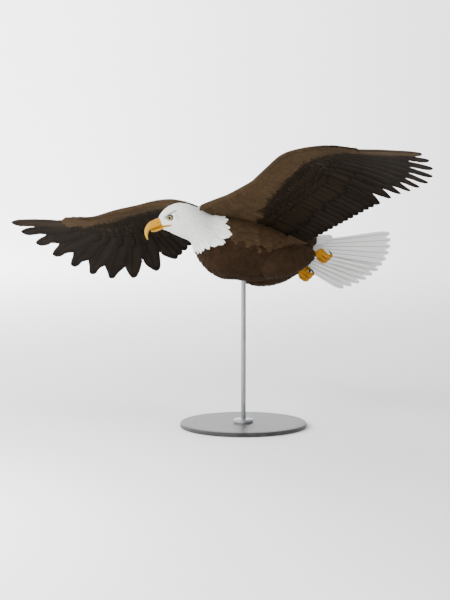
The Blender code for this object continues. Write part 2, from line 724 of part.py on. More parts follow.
def build_leg(name, side, axes, finish, body_cutter):
    """Thigh, shank, clenched foot and four talons, tucked back under the tail."""
    hip = Vector((side * 0.060, 0.098, -0.072))
    ankle = Matrix.Rotation(-FEET_ROLL, 3, "Y") @ Vector((side * FOOT_AT.x, FOOT_AT.y, FOOT_AT.z))
    thigh_end = hip.lerp(ankle, 0.86)
    run = thigh_end - hip
    turn = Vector((0, 1, 0)).rotation_difference(run.normalized()).to_matrix()
    rings = []
    for share, width, depth in (
        (-0.35, 0.018, 0.020),
        (-0.12, 0.038, 0.044),
        (0.20, 0.045, 0.056),
        (0.52, 0.042, 0.051),
        (0.82, 0.030, 0.035),
        (1.0, 0.016, 0.018),
    ):
        rings.append([turn @ p + hip + run * share for p in section(width, depth, depth, 14)])
    thigh = add_object(f"thigh_{name}", *loft(rings), finish["brown_feathers"], axes)
    boolean(thigh, body_cutter)

    along = run.normalized()
    start, end = thigh_end + along * GAP, ankle - along * 0.0108
    shank_path = [(start.lerp(end, s), along) for s in (0, 0.5, 1)]
    shank = add_object(
        f"shank_{name}", *tube(shank_path, (0.0095, 0.0085, 0.0090), 10), finish["scaly_skin"], axes
    )
    boolean(shank, body_cutter)
    at_ankle = (
        Matrix.Translation(ankle)
        @ Matrix.Rotation(-FEET_ROLL, 4, "Y")
        @ Matrix.Rotation(-FOOT_DOWN, 4, "X")
    )
    foot_axes = empty(f"foot_axes_{name}", at_ankle, axes)

    bm = bmesh.new()
    bmesh.ops.create_uvsphere(bm, u_segments=12, v_segments=8, radius=1.0)
    bmesh.ops.scale(bm, vec=(0.0205, 0.0125, 0.0135), verts=bm.verts)
    bmesh.ops.translate(bm, vec=(0, 0.0025, 0), verts=bm.verts)
    bm.verts.index_update()
    points = [v.co.copy() for v in bm.verts]
    faces = [tuple(v.index for v in f.verts) for f in bm.faces]
    palm = add_object(f"foot_{name}", points, faces, finish["scaly_skin"], foot_axes)
    bm.free()
    toes = [
        ("inner", side * -TOE_SPACING, radians(-75), radians(150), -0.006),
        ("middle", 0.0, radians(-75), radians(158), -0.007),
        ("outer", side * TOE_SPACING, radians(-75), radians(144), -0.006),
        ("hind", side * -TOE_SPACING * 0.5, radians(70), radians(-128), 0.007),
    ]
    for label, x, angle, curl, z in toes:
        hind = label == "hind"
        radius = TOE_CURL * (0.84 if hind else 1.0)
        path = arc_path((x, 0.006, z), angle, curl, radius, 6)
        widths = [TOE_RADIUS * w for w in (0.95, 1.08, 0.90, 1.06, 0.90, 0.98, 0.72)]
        toe = add_object(f"toe_{name}_{label}", *tube(path, widths), None, foot_axes)
        boolean(palm, toe, "UNION")
        end, along = path[-1]
        start_angle = angle + curl
        sweep = radians(112) * (-1 if hind else 1)
        talon_path = arc_path(end + along * GAP, start_angle, sweep, TALON_CURL, 5)
        taper = [TALON_RADIUS * (1 - 0.90 * (k / 5) ** 1.3) for k in range(6)]
        add_object(f"talon_{name}_{label}", *tube(talon_path, taper, 6), finish["talon"], foot_axes)


# ---- stand --------------------------------------------------------------------------------------------
def disc(name, radius, thick, bevel, bottom, finish, hole=0.0):
    """A round plate with a bevelled upper edge, turned from its profile."""
    profile = [
        (radius, bottom),
        (radius, bottom + thick - bevel),
        (radius - bevel, bottom + thick),
    ]
    rings = [
        [Vector((r * cos(2 * pi * k / ROUND), r * sin(2 * pi * k / ROUND), z)) for k in range(ROUND)]
        for r, z in profile
    ]
    points, faces = loft(rings)
    if hole:
        points, faces = loft(rings)
        faces = faces[:-2]
        start = len(points)
        for z in (bottom, bottom + thick):
            points += [
                Vector((hole * cos(2 * pi * k / ROUND), hole * sin(2 * pi * k / ROUND), z))
                for k in range(ROUND)
            ]
        top = len(rings) - 1
        for k in range(ROUND):
            n = (k + 1) % ROUND
            faces.append((k, n, start + n, start + k))
            faces.append((top * ROUND + k, top * ROUND + n, start + ROUND + n, start + ROUND + k))
            faces.append((start + k, start + n, start + ROUND + n, start + ROUND + k))
    return add_object(name, points, faces, finish)


def build_stand(trunk, finish):
    """A round base, a flange, and a rod that ends in a socket in the trunk."""
    disc("stand_base", BASE_RADIUS, BASE_THICK, BASE_BEVEL, 0.0, finish["black_paint"])
    disc(
        "stand_flange", FLANGE_RADIUS, FLANGE_THICK, FLANGE_BEVEL, BASE_THICK + GAP, finish["steel"],
        hole=ROD_RADIUS + GAP,
    )
    belly = BODY_HEIGHT - 0.165
    rod_top = belly + SOCKET_DEPTH
    for label, radius, low, high in (
        ("stand_rod", ROD_RADIUS, BASE_THICK + GAP, rod_top),
        ("rod_socket", ROD_RADIUS + GAP, belly - 0.10, rod_top + GAP),
    ):
        rings = [
            [Vector((radius * cos(2 * pi * k / 24), radius * sin(2 * pi * k / 24), z)) for k in range(24)]
            for z in (low, high)
        ]
        rod = add_object(label, *loft(rings), finish["steel"] if label == "stand_rod" else None)
    boolean(trunk, rod)


def main():
    clear_scene()
    finish = {
        "white_feathers": material("white_feathers", (0.80, 0.80, 0.77), 0.80),
        "brown_feathers": material("brown_feathers", (0.070, 0.046, 0.028), 0.80),
        "flight_feathers": material("flight_feathers", (0.025, 0.018, 0.012), 0.65),
        "bill": material("bill", (0.80, 0.50, 0.08), 0.35),
        "cere": material("cere", (0.85, 0.58, 0.10), 0.45),
        "eye": material("eye", (0.80, 0.74, 0.42), 0.10),
        "scaly_skin": material("scaly_skin", (0.80, 0.50, 0.06), 0.50),
        "talon": material("talon", (0.015, 0.013, 0.012), 0.25),
        "black_paint": material("black_paint", (0.020, 0.020, 0.022), 0.45),
        "steel": material("steel", (0.55, 0.56, 0.57), 0.30, 1.0),
    }
    tilt = Euler((-NOSE_UP, 0, 0)).to_matrix() @ Euler((0, -BANK, 0)).to_matrix()
    bird_axes = empty(
        "bird_axes", Matrix.Translation((0, -BODY_FORWARD, BODY_HEIGHT)) @ tilt.to_4x4()
    )
    head_axes = empty("head_axes", head_matrix(), bird_axes)
    body = build_body(bird_axes, finish)
    body_cutter = add_object("body_clearance", *loft(body_rings(GAP * 1.5)), None, bird_axes)
    build_eyes(head_axes, body["head"], finish)
    build_bill(head_axes, finish)
    for name, angles in WINGS.items():
        build_wing(name, angles, bird_axes, finish, body_cutter)
    build_tail(bird_axes, finish)
    for name, side in (("left", 1), ("right", -1)):
        build_leg(name, side, bird_axes, finish, body_cutter)
    build_stand(body["trunk"], finish)


main()
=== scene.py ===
"""Looks of a life-size bald eagle in banking flight, held over a round base by one upright rod.

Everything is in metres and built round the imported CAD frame. Most of the bird is laid out in its own axes,
x to its left, y towards its tail and z up through its back, and one matrix carries it to the frame. One skin
stands for all the flesh. Contour feathers, coverts, flight feathers and tail feathers are closed vanes that
lie over that skin, and follow the same bent wings and twisted tail that the CAD solids do.
"""

import logging
import math
from dataclasses import dataclass, field
from enum import Enum

import bmesh
import bpy
import numpy as np
from mathutils import Euler, Matrix, Quaternion, Vector
from mathutils.kdtree import KDTree


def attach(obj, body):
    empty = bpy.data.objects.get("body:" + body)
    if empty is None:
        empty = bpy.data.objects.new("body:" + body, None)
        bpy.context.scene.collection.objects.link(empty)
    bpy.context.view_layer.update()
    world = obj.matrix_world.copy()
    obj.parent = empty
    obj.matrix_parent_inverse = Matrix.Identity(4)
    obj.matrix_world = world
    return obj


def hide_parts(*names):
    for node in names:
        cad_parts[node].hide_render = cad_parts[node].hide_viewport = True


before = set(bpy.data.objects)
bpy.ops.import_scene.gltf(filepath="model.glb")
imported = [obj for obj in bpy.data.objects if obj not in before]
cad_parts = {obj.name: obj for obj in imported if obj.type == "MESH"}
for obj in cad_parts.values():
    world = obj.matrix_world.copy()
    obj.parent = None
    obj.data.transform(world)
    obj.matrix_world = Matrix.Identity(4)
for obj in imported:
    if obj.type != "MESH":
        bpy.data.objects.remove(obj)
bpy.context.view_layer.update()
LOG = logging.getLogger("eagle")
Array, Material, Object = np.ndarray, bpy.types.Material, bpy.types.Object
SIDES = (("left", 1), ("right", -1))

# ---- the bird's pose, as the CAD solids hold it ----
BODY_HEIGHT = 0.62
BODY_FORWARD = 0.035
NOSE_UP = math.radians(11)
BANK = math.radians(15)
HEAD_TURN = math.radians(18)
HEAD_DOWN = math.radians(19)
TAIL_TWIST = math.radians(28)
FEET_ROLL = math.radians(22)
HEAD_AT = Vector((0.0, -0.248, 0.030))
HIP_AT = (0.060, 0.098, -0.072)  # aside, back, up
FOOT_AT = (0.057, 0.293, -0.0335)
COVERTS_START = 0.258  # y where brown gives way to white tail coverts
BIRD = (
    Matrix.Translation((0, -BODY_FORWARD, BODY_HEIGHT))
    @ Euler((-NOSE_UP, 0, 0)).to_matrix().to_4x4()
    @ Euler((0, -BANK, 0)).to_matrix().to_4x4()
)


# ---- small helpers ----
def linear(code: str) -> tuple[float, float, float, float]:
    """Turns an sRGB hex colour to linear.

    Args:
        code: The colour as "#rrggbb".

    Returns:
        Linear red, green, blue and an alpha of 1.
    """
    parts = [int(code[k : k + 2], 16) / 255 for k in (1, 3, 5)]
    made = [c / 12.92 if c <= 0.04045 else ((c + 0.055) / 1.055) ** 2.4 for c in parts]
    return made[0], made[1], made[2], 1.0


class Coating:
    """A material in the making: its node tree and its Principled shader."""

    def __init__(self, name: str) -> None:
        """Makes the material.

        Args:
            name: The material's name.
        """
        self.material = bpy.data.materials.new(name)
        self.material.use_nodes = True
        self.tree = self.material.node_tree
        self.shader = self.tree.nodes["Principled BSDF"]

    def add(self, kind: str, settings: dict | None = None, **inputs) -> bpy.types.Node:
        """Adds one node with its settings and links.

        Args:
            kind: Blender's name for the kind of node, without ShaderNode.
            settings: Properties of the node.
            inputs: What its sockets take, as fill reads them.

        Returns:
            The new node.
        """
        made = self.tree.nodes.new("ShaderNode" + kind)
        for name, value in (settings or {}).items():
            setattr(made, name, value)
        self.fill(made, **inputs)
        return made

    def fill(self, node: bpy.types.Node, **inputs) -> None:
        """Sets or links a node's sockets. A node given as an input stands for the first output that is in use.

        Args:
            node: The node.
            inputs: Constants, hex colours, sockets or nodes, by socket name with underscores for spaces, or by
                number as i0, i1.
        """
        for name, value in inputs.items():
            numbered = name[0] == "i" and name[1:].isdigit()
            socket = node.inputs[int(name[1:]) if numbered else name.replace("_", " ")]
            if isinstance(value, bpy.types.Node):
                value = next(out for out in value.outputs if out.enabled)
            if isinstance(value, bpy.types.NodeSocket):
                self.tree.links.new(value, socket)
            else:
                socket.default_value = linear(value) if isinstance(value, str) else value

    def finish(self, **inputs) -> Material:
        """Fills the shader's sockets, constants straight on them, and gives the material."""
        self.fill(self.shader, **inputs)
        return self.material


def ease(value: Array | float, start: float, end: float) -> Array:
    """Smooth step from 0 at start to 1 at end."""
    t = np.clip((np.asarray(value, float) - start) / (end - start), 0.0, 1.0)
    return t * t * (3 - 2 * t)


def unit(vectors: Array) -> Array:
    """Vectors, in the last axis, at length 1."""
    return vectors / np.maximum(np.linalg.norm(vectors, axis=-1, keepdims=True), 1e-12)


def circle(count: int) -> Array:
    """Angles spread evenly round a circle."""
    return 2 * math.pi * np.arange(count) / count


def hermite(
    t: Array, low: Array, out: Array, high: Array, back: Array, width: object = 1.0
) -> Array:
    """A cubic run from low to high that leaves by one slope and arrives by another.

    Args:
        t: Shares of the way.
        low: Where it starts.
        out: The slope at the start.
        high: Where it ends.
        back: The slope at the end.
        width: What the whole way measures in the units of the slopes.

    Returns:
        The places at t.
    """
    start = (2 * t**3 - 3 * t**2 + 1) * low + (t**3 - 2 * t**2 + t) * width * out
    return start + (3 * t**2 - 2 * t**3) * high + (t**3 - t**2) * width * back


def smooth_along(knots: Array, values: Array, at: Array) -> Array:
    """Reads a cubic curve through values at rising knots.

    Args:
        knots: Where each value stands.
        values: One row for each knot, of any shape.
        at: Where to read the curve.

    Returns:
        One row for each place in at.
    """
    slopes = np.gradient(values, knots, axis=0)
    k = np.clip(np.searchsorted(knots, at, side="right") - 1, 0, len(knots) - 2)
    shape = (-1,) + (1,) * (values.ndim - 1)
    width = (knots[k + 1] - knots[k]).reshape(shape)
    t = (at - knots[k]).reshape(shape) / width
    return hermite(t, values[k], slopes[k], values[k + 1], slopes[k + 1], width)


def carried(points: Array, matrix: Matrix) -> Array:
    """Points, in the last axis, carried by a matrix."""
    m = np.array(matrix, float)
    return points @ m[:3, :3].T + m[:3, 3]


def section(half_width: float, top: float, bottom: float, count: int, power: float = 2.15) -> Array:
    """A rounded outline in x and z.

    Args:
        half_width: Reach each side.
        top: Reach up.
        bottom: Reach down, as a positive number.
        count: Points round the outline.
        power: 2 for an ellipse, and more for a squarer outline.

    Returns:
        The points, from the side round over the top.
    """
    angle = circle(count)
    c, s = np.cos(angle), np.sin(angle)
    x = half_width * np.abs(c) ** (2 / power) * np.sign(c)
    z = np.where(s >= 0, top, bottom) * np.abs(s) ** (2 / power) * np.sign(s)
    return np.stack([x, np.zeros(count), z], axis=1)


def grid_faces(rows: int, columns: int, start: int = 0) -> Array:
    """Quads over a grid of points whose last column joins the first.

    Args:
        rows: Points along.
        columns: Points across.
        start: The first point's number.

    Returns:
        One row of four point numbers for each quad.
    """
    across = np.arange(columns)
    a = (np.arange(rows - 1)[:, None] * columns + across).ravel() + start
    b = (np.arange(rows - 1)[:, None] * columns + (across + 1) % columns).ravel() + start
    return np.stack([a, b, b + columns, a + columns], axis=1)


def loft_faces(rows: int, columns: int, count: int = 1) -> list:
    """Faces of closed lofts whose points follow each other.

    Args:
        rows: Rings of each loft.
        columns: Points round a ring.
        count: How many lofts there are.

    Returns:
        The quads, and the caps of their ends.
    """
    starts = [k * rows * columns for k in range(count)]
    caps = [list(range(start, start + columns))[::-1] for start in starts]
    caps += [list(range(start + (rows - 1) * columns, start + rows * columns)) for start in starts]
    return [np.concatenate([grid_faces(rows, columns, start) for start in starts]), caps]


def set_numbers(mesh: bpy.types.Mesh, label: str, numbers: Array) -> None:
    """Keeps a number for each point of a mesh under a name, in place of any kept there before.

    Args:
        mesh: The mesh.
        label: The name.
        numbers: One for each point.
    """
    if label in mesh.attributes:
        mesh.attributes.remove(mesh.attributes[label])
    mesh.attributes.new(label, "FLOAT", "POINT").data.foreach_set("value", np.asarray(numbers, np.float32))


def make_object(
    name: str, points: Array, faces: list, finish: Material | None, place: Matrix = BIRD,
    values: dict | None = None, uv: Array | None = None, crease: float = 50.0,
) -> Object:
    """Makes a mesh object.

    Args:
        name: The piece's name.
        points: Its points.
        faces: Arrays of quads or triangles, or lists of longer polygons.
        finish: Its material.
        place: The matrix that carries the points to the frame.
        values: Numbers for each point, by attribute name.
        uv: Places of the points on the unwrap, kept in the layer OFBake.
        crease: Edges that turn more than this many degrees are sharp.

    Returns:
        The object.
    """
    mesh = bpy.data.meshes.new(name)
    sizes = np.concatenate([np.full(len(group), len(group[0])) for group in faces])
    loops = np.concatenate([np.asarray(group).ravel() for group in faces]).astype(np.int32)
    mesh.vertices.add(len(points))
    mesh.vertices.foreach_set("co", carried(points, place).astype(np.float32).ravel())
    mesh.loops.add(len(loops))
    mesh.loops.foreach_set("vertex_index", loops)
    mesh.polygons.add(len(sizes))
    mesh.polygons.foreach_set("loop_start", np.concatenate([[0], np.cumsum(sizes)[:-1]]).astype(np.int32))
    mesh.update(calc_edges=True)
    mesh.validate()
    for label, numbers in (values or {}).items():
        set_numbers(mesh, label, numbers)
    if uv is not None:
        layer = mesh.uv_layers.new(name="OFBake")
        at = np.zeros(len(mesh.loops), np.int32)
        mesh.loops.foreach_get("vertex_index", at)
        layer.data.foreach_set("uv", uv[at].astype(np.float32).ravel())
    mesh.shade_smooth()
    mesh.set_sharp_from_angle(angle=math.radians(crease))
    if finish:
        mesh.materials.append(finish)
    made = bpy.data.objects.new(name, mesh)
    bpy.context.scene.collection.objects.link(made)
    return made


def turned_out(obj: Object) -> Object:
    """Turns an object's faces to point out.

    Args:
        obj: A closed mesh object.

    Returns:
        The same object.
    """
    bm = bmesh.new()
    bm.from_mesh(obj.data)
    bmesh.ops.recalc_face_normals(bm, faces=bm.faces)
    bm.to_mesh(obj.data)
    bm.free()
    return obj


def closed_loft(
    name: str, rings: Array, finish: Material | None, place: Matrix = BIRD, **more
) -> Object:
    """A closed skin over rings of equal length, with a cap at each end.

    Args:
        name: The piece's name.
        rings: Points by ring, then by place round the ring.
        finish: Its material.
        place: The matrix that carries the points to the frame.
        more: Other arguments of make_object.

    Returns:
        The object.
    """
    faces = loft_faces(*rings.shape[:2])
    return turned_out(make_object(name, rings.reshape(-1, 3), faces, finish, place, **more))


def combined(
    piece: Object, others: list[Object], operation: str = "UNION"
) -> Object:
    """Joins closed objects to a piece, or cuts them from it.

    Args:
        piece: The object that stays.
        others: Objects that are used up.
        operation: UNION or DIFFERENCE.

    Returns:
        The piece.
    """
    for other in others:
        step = piece.modifiers.new("combined", "BOOLEAN")
        step.operation = operation
        step.solver = "EXACT"
        step.object = other
    bpy.context.view_layer.update()
    graph = bpy.context.evaluated_depsgraph_get()
    mesh = bpy.data.meshes.new_from_object(piece.evaluated_get(graph))
    piece.modifiers.clear()
    piece.data = mesh
    for other in others:
        bpy.data.objects.remove(other)
    mesh.shade_smooth()
    return piece


def place_piece(piece: Object, slot: str, *nodes: str) -> None:
    """Makes a piece ride with the bird, hides the CAD nodes that it stands for, and logs its number of faces.

    Args:
        piece: The finished object.
        slot: Not used.
        nodes: The CAD nodes that it replaces.
    """
    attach(piece, "root")
    if nodes:
        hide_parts(*nodes)
    LOG.info("%s: %d faces", piece.name, len(piece.data.polygons))


# ---- finishes ----
KERATIN_IOR = 1.54
SOFT = {"interpolation_type": "SMOOTHSTEP"}  # a change that starts and ends gently
COLOURS = {"data_type": "RGBA"}
TINT = {"data_type": "RGBA", "blend_type": "MULTIPLY"}  # a colour made lighter or darker
TIMES = {"operation": "MULTIPLY"}


@dataclass(frozen=True)
class FeatherFinish:
    """Keratin vanes of one feather tract, grown and then worn by sun and air.

    The vane is matt with a soft sheen from its barbs. Its colour runs from pale to dark with its shade number,
    which holds the feather's marking and, on the lower body, the thighs, the brow and the tail's roots, painted
    shade. Its rim is a paler worn fringe on white feathers and a brown fringe on the body's, and on the wing a
    near-black painted shadow line where each feather lies over the next. The grooves between its barbs are painted
    darker as shade, and no two feathers have quite the same tone.
    """

    name: str
    pale: str
    dark: str
    rim: str
    shaft: str
    rim_share: float = 0.5
    dark_rim: float = 1.0  # how much more of the rim shows where the feather is darker
    shaft_share: float = 0.35
    tone_spread: float = 0.16
    roughness: float = 0.74
    specular: float = 0.10  # low, because light that falls between the barbs is lost there
    sheen: float = 0.02
    barb_pitch: float = 0.0024  # real barbs lie 0.5 mm apart: drawn coarser, so that they show
    barb_depth: float = 0.12

    def material(self) -> Material:
        """The node material of these feathers.

        Returns:
            The material.
        """
        coat = Coating(self.name)
        tone, shade, along, across, run = (
            coat.add("Attribute", {"attribute_name": name}).outputs["Fac"]
            for name in ("tone", "shade", "along", "across", "run")
        )
        spread = self.tone_spread
        tone = coat.add("MapRange", Value=tone, From_Min=-1.0, To_Min=1 - spread, To_Max=1 + spread)
        # Pale to dark by the shade number: the feather's marking, and painted shade where a tract paints it.
        colour = coat.add("Mix", COLOURS, i0=shade, i6=self.pale, i7=self.dark)
        colour = coat.add("Mix", TINT, i0=1.0, i6=colour, i7=tone)
        side = coat.add("Math", {"operation": "ABSOLUTE"}, i0=across)
        # Rims: worn fringes on the white and body feathers; the wing's near-black rims are painted shadow lines where
        # feathers overlap.
        edge = coat.add("MapRange", SOFT, Value=side, From_Min=0.55)
        end = coat.add("MapRange", SOFT, Value=along, From_Min=0.80)
        worn = coat.add("Math", {"operation": "MAXIMUM"}, i0=edge, i1=end)
        rim_by_darkness = coat.add("MapRange", Value=shade, To_Min=0.4, To_Max=self.dark_rim)
        worn = coat.add("Math", TIMES, i0=coat.add("Math", TIMES, i0=worn, i1=rim_by_darkness), i1=self.rim_share)
        colour = coat.add("Mix", COLOURS, i0=worn, i6=colour, i7=self.rim)
        quill = coat.add(
            "MapRange", SOFT, Value=side, From_Min=0.03, From_Max=0.10, To_Min=self.shaft_share, To_Max=0.0
        )
        colour = coat.add("Mix", COLOURS, i0=quill, i6=colour, i7=self.shaft)
        # Barbs: a bump, and grooves between them painted darker as shade.
        turns = coat.add("Math", TIMES, i0=run, i1=2 * math.pi / self.barb_pitch)
        barbs = coat.add("Math", {"operation": "SINE"}, i0=turns)
        barb_groove_shade = coat.add("MapRange", Value=barbs, From_Min=-1.0, To_Min=1 - self.barb_depth)
        return coat.finish(
            Base_Color=coat.add("Mix", TINT, i0=1.0, i6=colour, i7=barb_groove_shade),
            Normal=coat.add("Bump", Strength=0.4, Distance=0.0003, Height=barbs),
            Roughness=self.roughness, IOR=KERATIN_IOR, Specular_IOR_Level=self.specular,
            Sheen_Weight=self.sheen, Sheen_Roughness=0.5,
        )


@dataclass(frozen=True)
class SkinFinish:
    """Thin living skin and down under the feathers.

    Matt, and coloured as the tract over it, so that a gap between two feathers shows no bright line. Round
    the eyes it is bare and a little waxy, in a grey darkened to be painted shade in the eye sockets as well.
    """

    name: str = "downy_skin"
    brown: str = "#1E160E"
    white: str = "#BEBFBB"
    # grey of the bare skin round the eyes, darkened to be painted shade in the sockets too
    bare: str = "#77726A"
    pore: float = 0.0016

    def material(self) -> Material:
        """The node material of the skin.

        Returns:
            The material.
        """
        coat = Coating(self.name)
        white, bare = (
            coat.add("Attribute", {"attribute_name": name}).outputs["Fac"] for name in ("white", "bare")
        )
        colour = coat.add("Mix", COLOURS, i0=white, i6=self.brown, i7=self.white)
        colour = coat.add("Mix", COLOURS, i0=bare, i6=colour, i7=self.bare)
        at = coat.add("TexCoord").outputs["Object"]
        grain = coat.add("TexNoise", Vector=at, Scale=1 / self.pore, Detail=3.0)
        down = coat.add("MapRange", Value=grain, To_Min=0.75, To_Max=1.1)
        return coat.finish(
            Base_Color=coat.add("Mix", TINT, i0=1.0, i6=colour, i7=down),
            Normal=coat.add("Bump", Strength=0.5, Distance=0.0005, Height=grain),
            Roughness=0.8, Specular_IOR_Level=0.15,
        )


@dataclass(frozen=True)
class HornFinish:
    """Keratin horn, grown in thin layers from its base and polished by use.

    It is smooth with a dull gloss, and its colour changes from the base to the tip with faint growth lines.
    """

    name: str
    base: str
    tip: str
    # colour of the painted shade in creases
    crease: str
    roughness: float = 0.34
    turn: float = 0.5  # share of the length at which the base's colour has half gone
    growth: float = 0.0035  # spacing of growth lines

    def material(self) -> Material:
        """The node material of the horn.

        Returns:
            The material.
        """
        coat = Coating(self.name)
        along, crease = (
            coat.add("Attribute", {"attribute_name": name}).outputs["Fac"] for name in ("along", "crease")
        )
        share = coat.add("MapRange", SOFT, Value=along, From_Min=self.turn - 0.35, From_Max=self.turn + 0.35)
        colour = coat.add("Mix", COLOURS, i0=share, i6=self.base, i7=self.tip)
        at = coat.add("TexCoord").outputs["Object"]
        layer = coat.add("TexNoise", Vector=at, Scale=1 / self.growth, Detail=4.0)
        lines = coat.add("MapRange", Value=layer, From_Min=0.3, From_Max=0.7, To_Min=0.90, To_Max=1.06)
        colour = coat.add("Mix", TINT, i0=1.0, i6=colour, i7=lines)
        return coat.finish(
            # painted shade darkens the creases
            Base_Color=coat.add("Mix", COLOURS, i0=crease, i6=colour, i7=self.crease),
            Normal=coat.add("Bump", Strength=0.25, Distance=0.0003, Height=layer),
            Roughness=self.roughness, IOR=KERATIN_IOR, Specular_IOR_Level=0.14,
        )


@dataclass(frozen=True)
class ScaleFinish:
    """Leathery skin of the feet under small flat scales, with scutes over the toes.

    Waxy yellow scales, painted darker as shade in the grooves between them and in the creases between scutes.
    """

    name: str = "scaled_foot_skin"
    scale: str = "#9E6C00"
    # colour of the painted shade in the grooves and creases
    crease: str = "#684404"
    pitch: float = 0.0026  # across one small scale

    def material(self) -> Material:
        """The node material of the feet.

        Returns:
            The material.
        """
        coat = Coating(self.name)
        crease = coat.add("Attribute", {"attribute_name": "crease"}).outputs["Fac"]
        at = coat.add("TexCoord").outputs["Object"]
        cells = coat.add("TexVoronoi", {"feature": "DISTANCE_TO_EDGE"}, Vector=at, Scale=1 / self.pitch)
        # Painted shade in the grooves between scales and in the creases.
        dome = coat.add("MapRange", SOFT, Value=cells, From_Min=0.0, From_Max=0.16)
        flat = coat.add("Math", {"operation": "SUBTRACT"}, i0=1.0, i1=crease)
        plate = coat.add("Math", TIMES, i0=dome, i1=flat)
        return coat.finish(
            Base_Color=coat.add("Mix", COLOURS, i0=plate, i6=self.crease, i7=self.scale),
            Normal=coat.add("Bump", Strength=0.6, Distance=0.0005, Height=plate),
            Roughness=0.5, IOR=1.5, Specular_IOR_Level=0.14,
        )


@dataclass(frozen=True)
class EyeFinish:
    """Painted iris under a clear wet cornea: dull inside, with one sharp highlight outside."""

    name: str = "wet_eye"
    pupil: str = "#07070A"
    iris: str = "#D2C67C"
    iris_rim: str = "#8A7434"
    white: str = "#2A2420"
    pupil_degrees: float = 28.0
    iris_degrees: float = 46.0

    def material(self) -> Material:
        """The node material of an eyeball, read from each point's angle off the gaze.

        Returns:
            The material.
        """
        coat = Coating(self.name)
        polar = coat.add("Attribute", {"attribute_name": "polar"}).outputs["Fac"]
        rim = self.iris_degrees
        ring = coat.add("MapRange", SOFT, Value=polar, From_Min=rim - 18, From_Max=rim - 2)
        colour = coat.add("Mix", COLOURS, i0=ring, i6=self.iris, i7=self.iris_rim)
        fibre = coat.add("TexNoise", Vector=coat.add("TexCoord").outputs["Object"], Scale=1600.0, Detail=2.0)
        fibre = coat.add("MapRange", Value=fibre, To_Min=0.8, To_Max=1.15)
        colour = coat.add("Mix", TINT, i0=1.0, i6=colour, i7=fibre)
        for start, code, low, high in ((self.pupil_degrees, self.pupil, 1.0, 0.0), (rim, self.white, 0.0, 1.0)):
            share = coat.add(
                "MapRange", SOFT, Value=polar, From_Min=start - 1, From_Max=start + 1, To_Min=low, To_Max=high
            )
            colour = coat.add("Mix", COLOURS, i0=share, i6=colour, i7=code)
        return coat.finish(
            Base_Color=colour, Roughness=0.25, IOR=1.38, Specular_IOR_Level=0.1,
            Coat_Weight=0.4, Coat_Roughness=0.04,
        )


@dataclass(frozen=True)
class StandFinish:
    """A plain shop finish for the stand: satin enamel on steel, or bare brushed steel.

    Enamel has a soft even gloss with a faint orange peel. Brushed steel has fine lines along the grinding,
    which spread its highlights across them.
    """

    name: str
    colour: str
    roughness: float
    metallic: float = 0.0
    grain: tuple[float, float, float] = (1.0, 1.0, 1.0)  # how the pattern is stretched
    pitch: float = 0.0020
    spread: float = 0.06
    bump: float = 0.08

    def material(self) -> Material:
        """The node material of one part of the stand.

        Returns:
            The material.
        """
        coat = Coating(self.name)
        at = coat.add("TexCoord").outputs["Object"]
        drawn = coat.add("VectorMath", TIMES, i0=at, i1=self.grain)
        lines = coat.add("TexNoise", Vector=drawn, Scale=1 / self.pitch, Detail=3.0)
        worn = coat.add("TexNoise", Vector=at, Scale=9.0, Detail=4.0)
        worn = coat.add("MapRange", Value=worn, To_Min=0.85, To_Max=1.12)
        low, high = self.roughness - self.spread, self.roughness + self.spread
        return coat.finish(
            Base_Color=coat.add("Mix", TINT, i0=1.0, i6=self.colour, i7=worn),
            Normal=coat.add("Bump", Strength=self.bump, Distance=0.0002, Height=lines),
            Roughness=coat.add("MapRange", Value=lines, To_Min=low, To_Max=high), Metallic=self.metallic,
        )


# dark: near black, for the painted shadow under the brows and the faint random tone
WHITE_HEAD = FeatherFinish(
    "white_hackles", "#DADCD8", "#232327", "#E2E3DF", "#C4C5C1",
    rim_share=0.45, shaft_share=0.3, tone_spread=0.09, roughness=0.8, specular=0.3, sheen=0.06, barb_depth=0.08,
)
# dark: lilac grey, for the painted shade at the tail's roots and the random tone of the tail coverts
WHITE_TAIL = FeatherFinish(
    "white_tail_feathers", "#C9CBC8", "#A5A3AC", "#D6D7D4", "#8B8A8A",
    rim_share=0.35, shaft_share=0.8, tone_spread=0.05, roughness=0.7, specular=0.3, sheen=0.06, barb_depth=0.09,
)
# dark: the painted shade of the lower body and thighs, and the darker back
BROWN_BODY = FeatherFinish(
    "brown_contour_feathers", "#3D2F20", "#22160B", "#2A1F14", "#261C13",
    rim_share=0.42, shaft_share=0.3, tone_spread=0.18, specular=0.05, sheen=0.0,
)
# rim: near black, a painted shadow line along the edge of each covert
BROWN_WING = FeatherFinish(
    "brown_wing_coverts", "#3B2E1F", "#19120A", "#040302", "#0D0906",
    rim_share=0.6, dark_rim=1.6, shaft_share=0.35, tone_spread=0.14, specular=0.04, sheen=0.0,
)
# rim: near black, a painted shadow line along the edge of each flight feather
FLIGHT = FeatherFinish(
    "dark_flight_feathers", "#3A2E20", "#16100A", "#040302", "#070504",
    rim_share=0.6, shaft_share=0.7, tone_spread=0.12, roughness=0.7, specular=0.05, sheen=0.0, barb_depth=0.16,
)
SKIN = SkinFinish()
BILL = HornFinish("bill_horn", "#9E6E00", "#A48422", "#402604", roughness=0.42, turn=0.72)
CERE = HornFinish("waxy_cere", "#A27200", "#9E6E00", "#382004", roughness=0.48)
CLAW = HornFinish("black_claw_horn", "#15110F", "#0B0A0A", "#060505", roughness=0.25)
FOOT = ScaleFinish()
EYE = EyeFinish()
ENAMEL = StandFinish("satin_black_enamel", "#141416", 0.42, spread=0.05)
STEEL = StandFinish(
    "brushed_steel", "#7C7E80", 0.32, metallic=1.0, grain=(1.0, 1.0, 0.03), pitch=0.0012, bump=0.2
)


